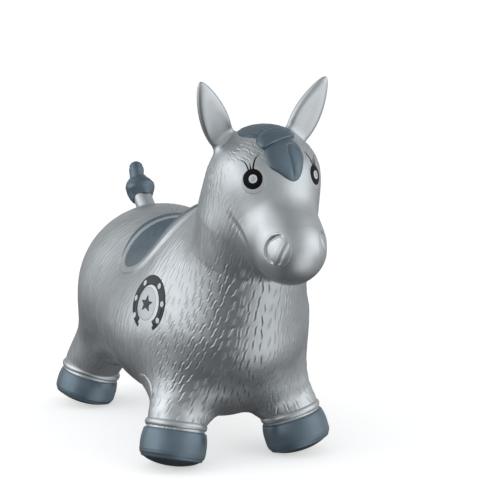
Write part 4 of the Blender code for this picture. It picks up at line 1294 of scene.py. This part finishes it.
def place_facing(name, data, place, direction):
    """New object at place that looks along direction."""
    piece = link_to_scene(bpy.data.objects.new(name, data))
    piece.location = place
    piece.rotation_mode = 'QUATERNION'
    piece.rotation_quaternion = direction.to_track_quat('-Z', 'Y')
    return piece


def make_camera():
    back = around(0.0, CAMERA_ELEVATION)
    data = bpy.data.cameras.new("camera")
    data.sensor_width = SENSOR_WIDTH
    data.lens = CAMERA_FOCAL_PIXELS * SENSOR_WIDTH / PICTURE_PIXELS
    data.shift_y = (CAMERA_CENTRE_PIXEL_Y - PICTURE_PIXELS / 2.0) / PICTURE_PIXELS
    camera = place_facing("camera", data, CAMERA_TARGET + back * CAMERA_DISTANCE, -back)
    bpy.context.scene.camera = camera


def area_light(name, azimuth, elevation, size, power):
    data = bpy.data.lights.new(name, 'AREA')
    data.shape = 'RECTANGLE'
    data.size, data.size_y = size
    data.energy = power
    place = STUDIO_MIDDLE + around(azimuth, elevation) * LIGHT_DISTANCE
    place_facing(name, data, place, STUDIO_MIDDLE - place)


def make_world():
    """Bright walls and paper to both sides, dim toward the camera and over the floor there."""
    world = bpy.data.worlds.new("studio")
    bpy.context.scene.world = world
    tree = Tree(world)
    direction = tree.add("ShaderNodeTexCoord", "Generated", {})
    height = tree.add("ShaderNodeSeparateXYZ", "Z", {0: direction})
    rise = tree.add("ShaderNodeMapRange", "Result", {"From Min": -1.0, "Value": height})
    sky = tree.ramp(rise, [
        ((math.sin(math.radians(elevation)) + 1.0) / 2.0, (level * 0.985, level, level * 1.015))
        for elevation, level in STUDIO_LEVELS])
    for azimuth, elevation, level in STUDIO_PANELS:
        toward = tree.add("ShaderNodeVectorMath", "Value",
                          {0: direction, 1: around(azimuth, elevation)}, operation='DOT_PRODUCT')
        share = tree.add("ShaderNodeMapRange", "Result", {
            "From Min": PANEL_FROM, "From Max": PANEL_TO, "To Max": level, "Value": toward,
        }, interpolation_type='SMOOTHSTEP')
        sky = tree.mix('ADD', 1.0, sky, share)
    to_camera = tree.add("ShaderNodeLightPath", "Is Camera Ray", {})
    backdrop = tree.mix('MIX', to_camera, sky, WHITE_LIGHT)
    tree.fill(tree.nodes["Background"], {"Color": backdrop})


def make_light():
    make_world()
    bpy.context.scene.view_settings.view_transform = 'Standard'
    area_light("softbox_left", -80.0, 9.0, (2.7, 1.7), 10.0)
    area_light("softbox_right", 64.0, 9.0, (2.4, 1.7), 5.0)


def make_floor():
    """White paper that the horse stands on; it lights nothing, so the belly stays in shade."""
    corners = [(x * FLOOR_REACH, y * FLOOR_REACH, 0.0)
               for x, y in ((-1.0, -1.0), (1.0, -1.0), (1.0, 1.0), (-1.0, 1.0))]
    mesh = mesh_of(corners, [(0, 1, 2, 3)])
    made, tree, shader = new_material("floor_paper")
    grain = tree.noise(tree.object_place(), 300.0, 3.0)
    tree.fill(shader, {
        "Base Color": tree.grey_ramp(grain, 0.93, 0.95), "Roughness": 0.8,
        "Emission Color": WHITE_LIGHT, "Emission Strength": 0.50,
    })
    floor = link_to_scene(bpy.data.objects.new("floor", mesh))
    mesh.materials.append(made)
    floor.visible_glossy = False
    floor.visible_diffuse = False
    floor.visible_shadow = False


make_skin()
make_saddle()
for end_name, (top, axis) in HOOVES.items():
    for which, sign in SIDES.items():
        make_hoof(end_name, which, mirrored(top, sign), mirrored(axis, sign))
        make_cuff(end_name, which, mirrored(top, sign), mirrored(axis, sign))
make_tuft()
make_forelock()
make_mane()
for which, sign in SIDES.items():
    make_eye(which, sign)
    make_nostril(which, sign)
    make_badge(which, sign)
dress_frame()
make_camera()
make_light()
make_floor()
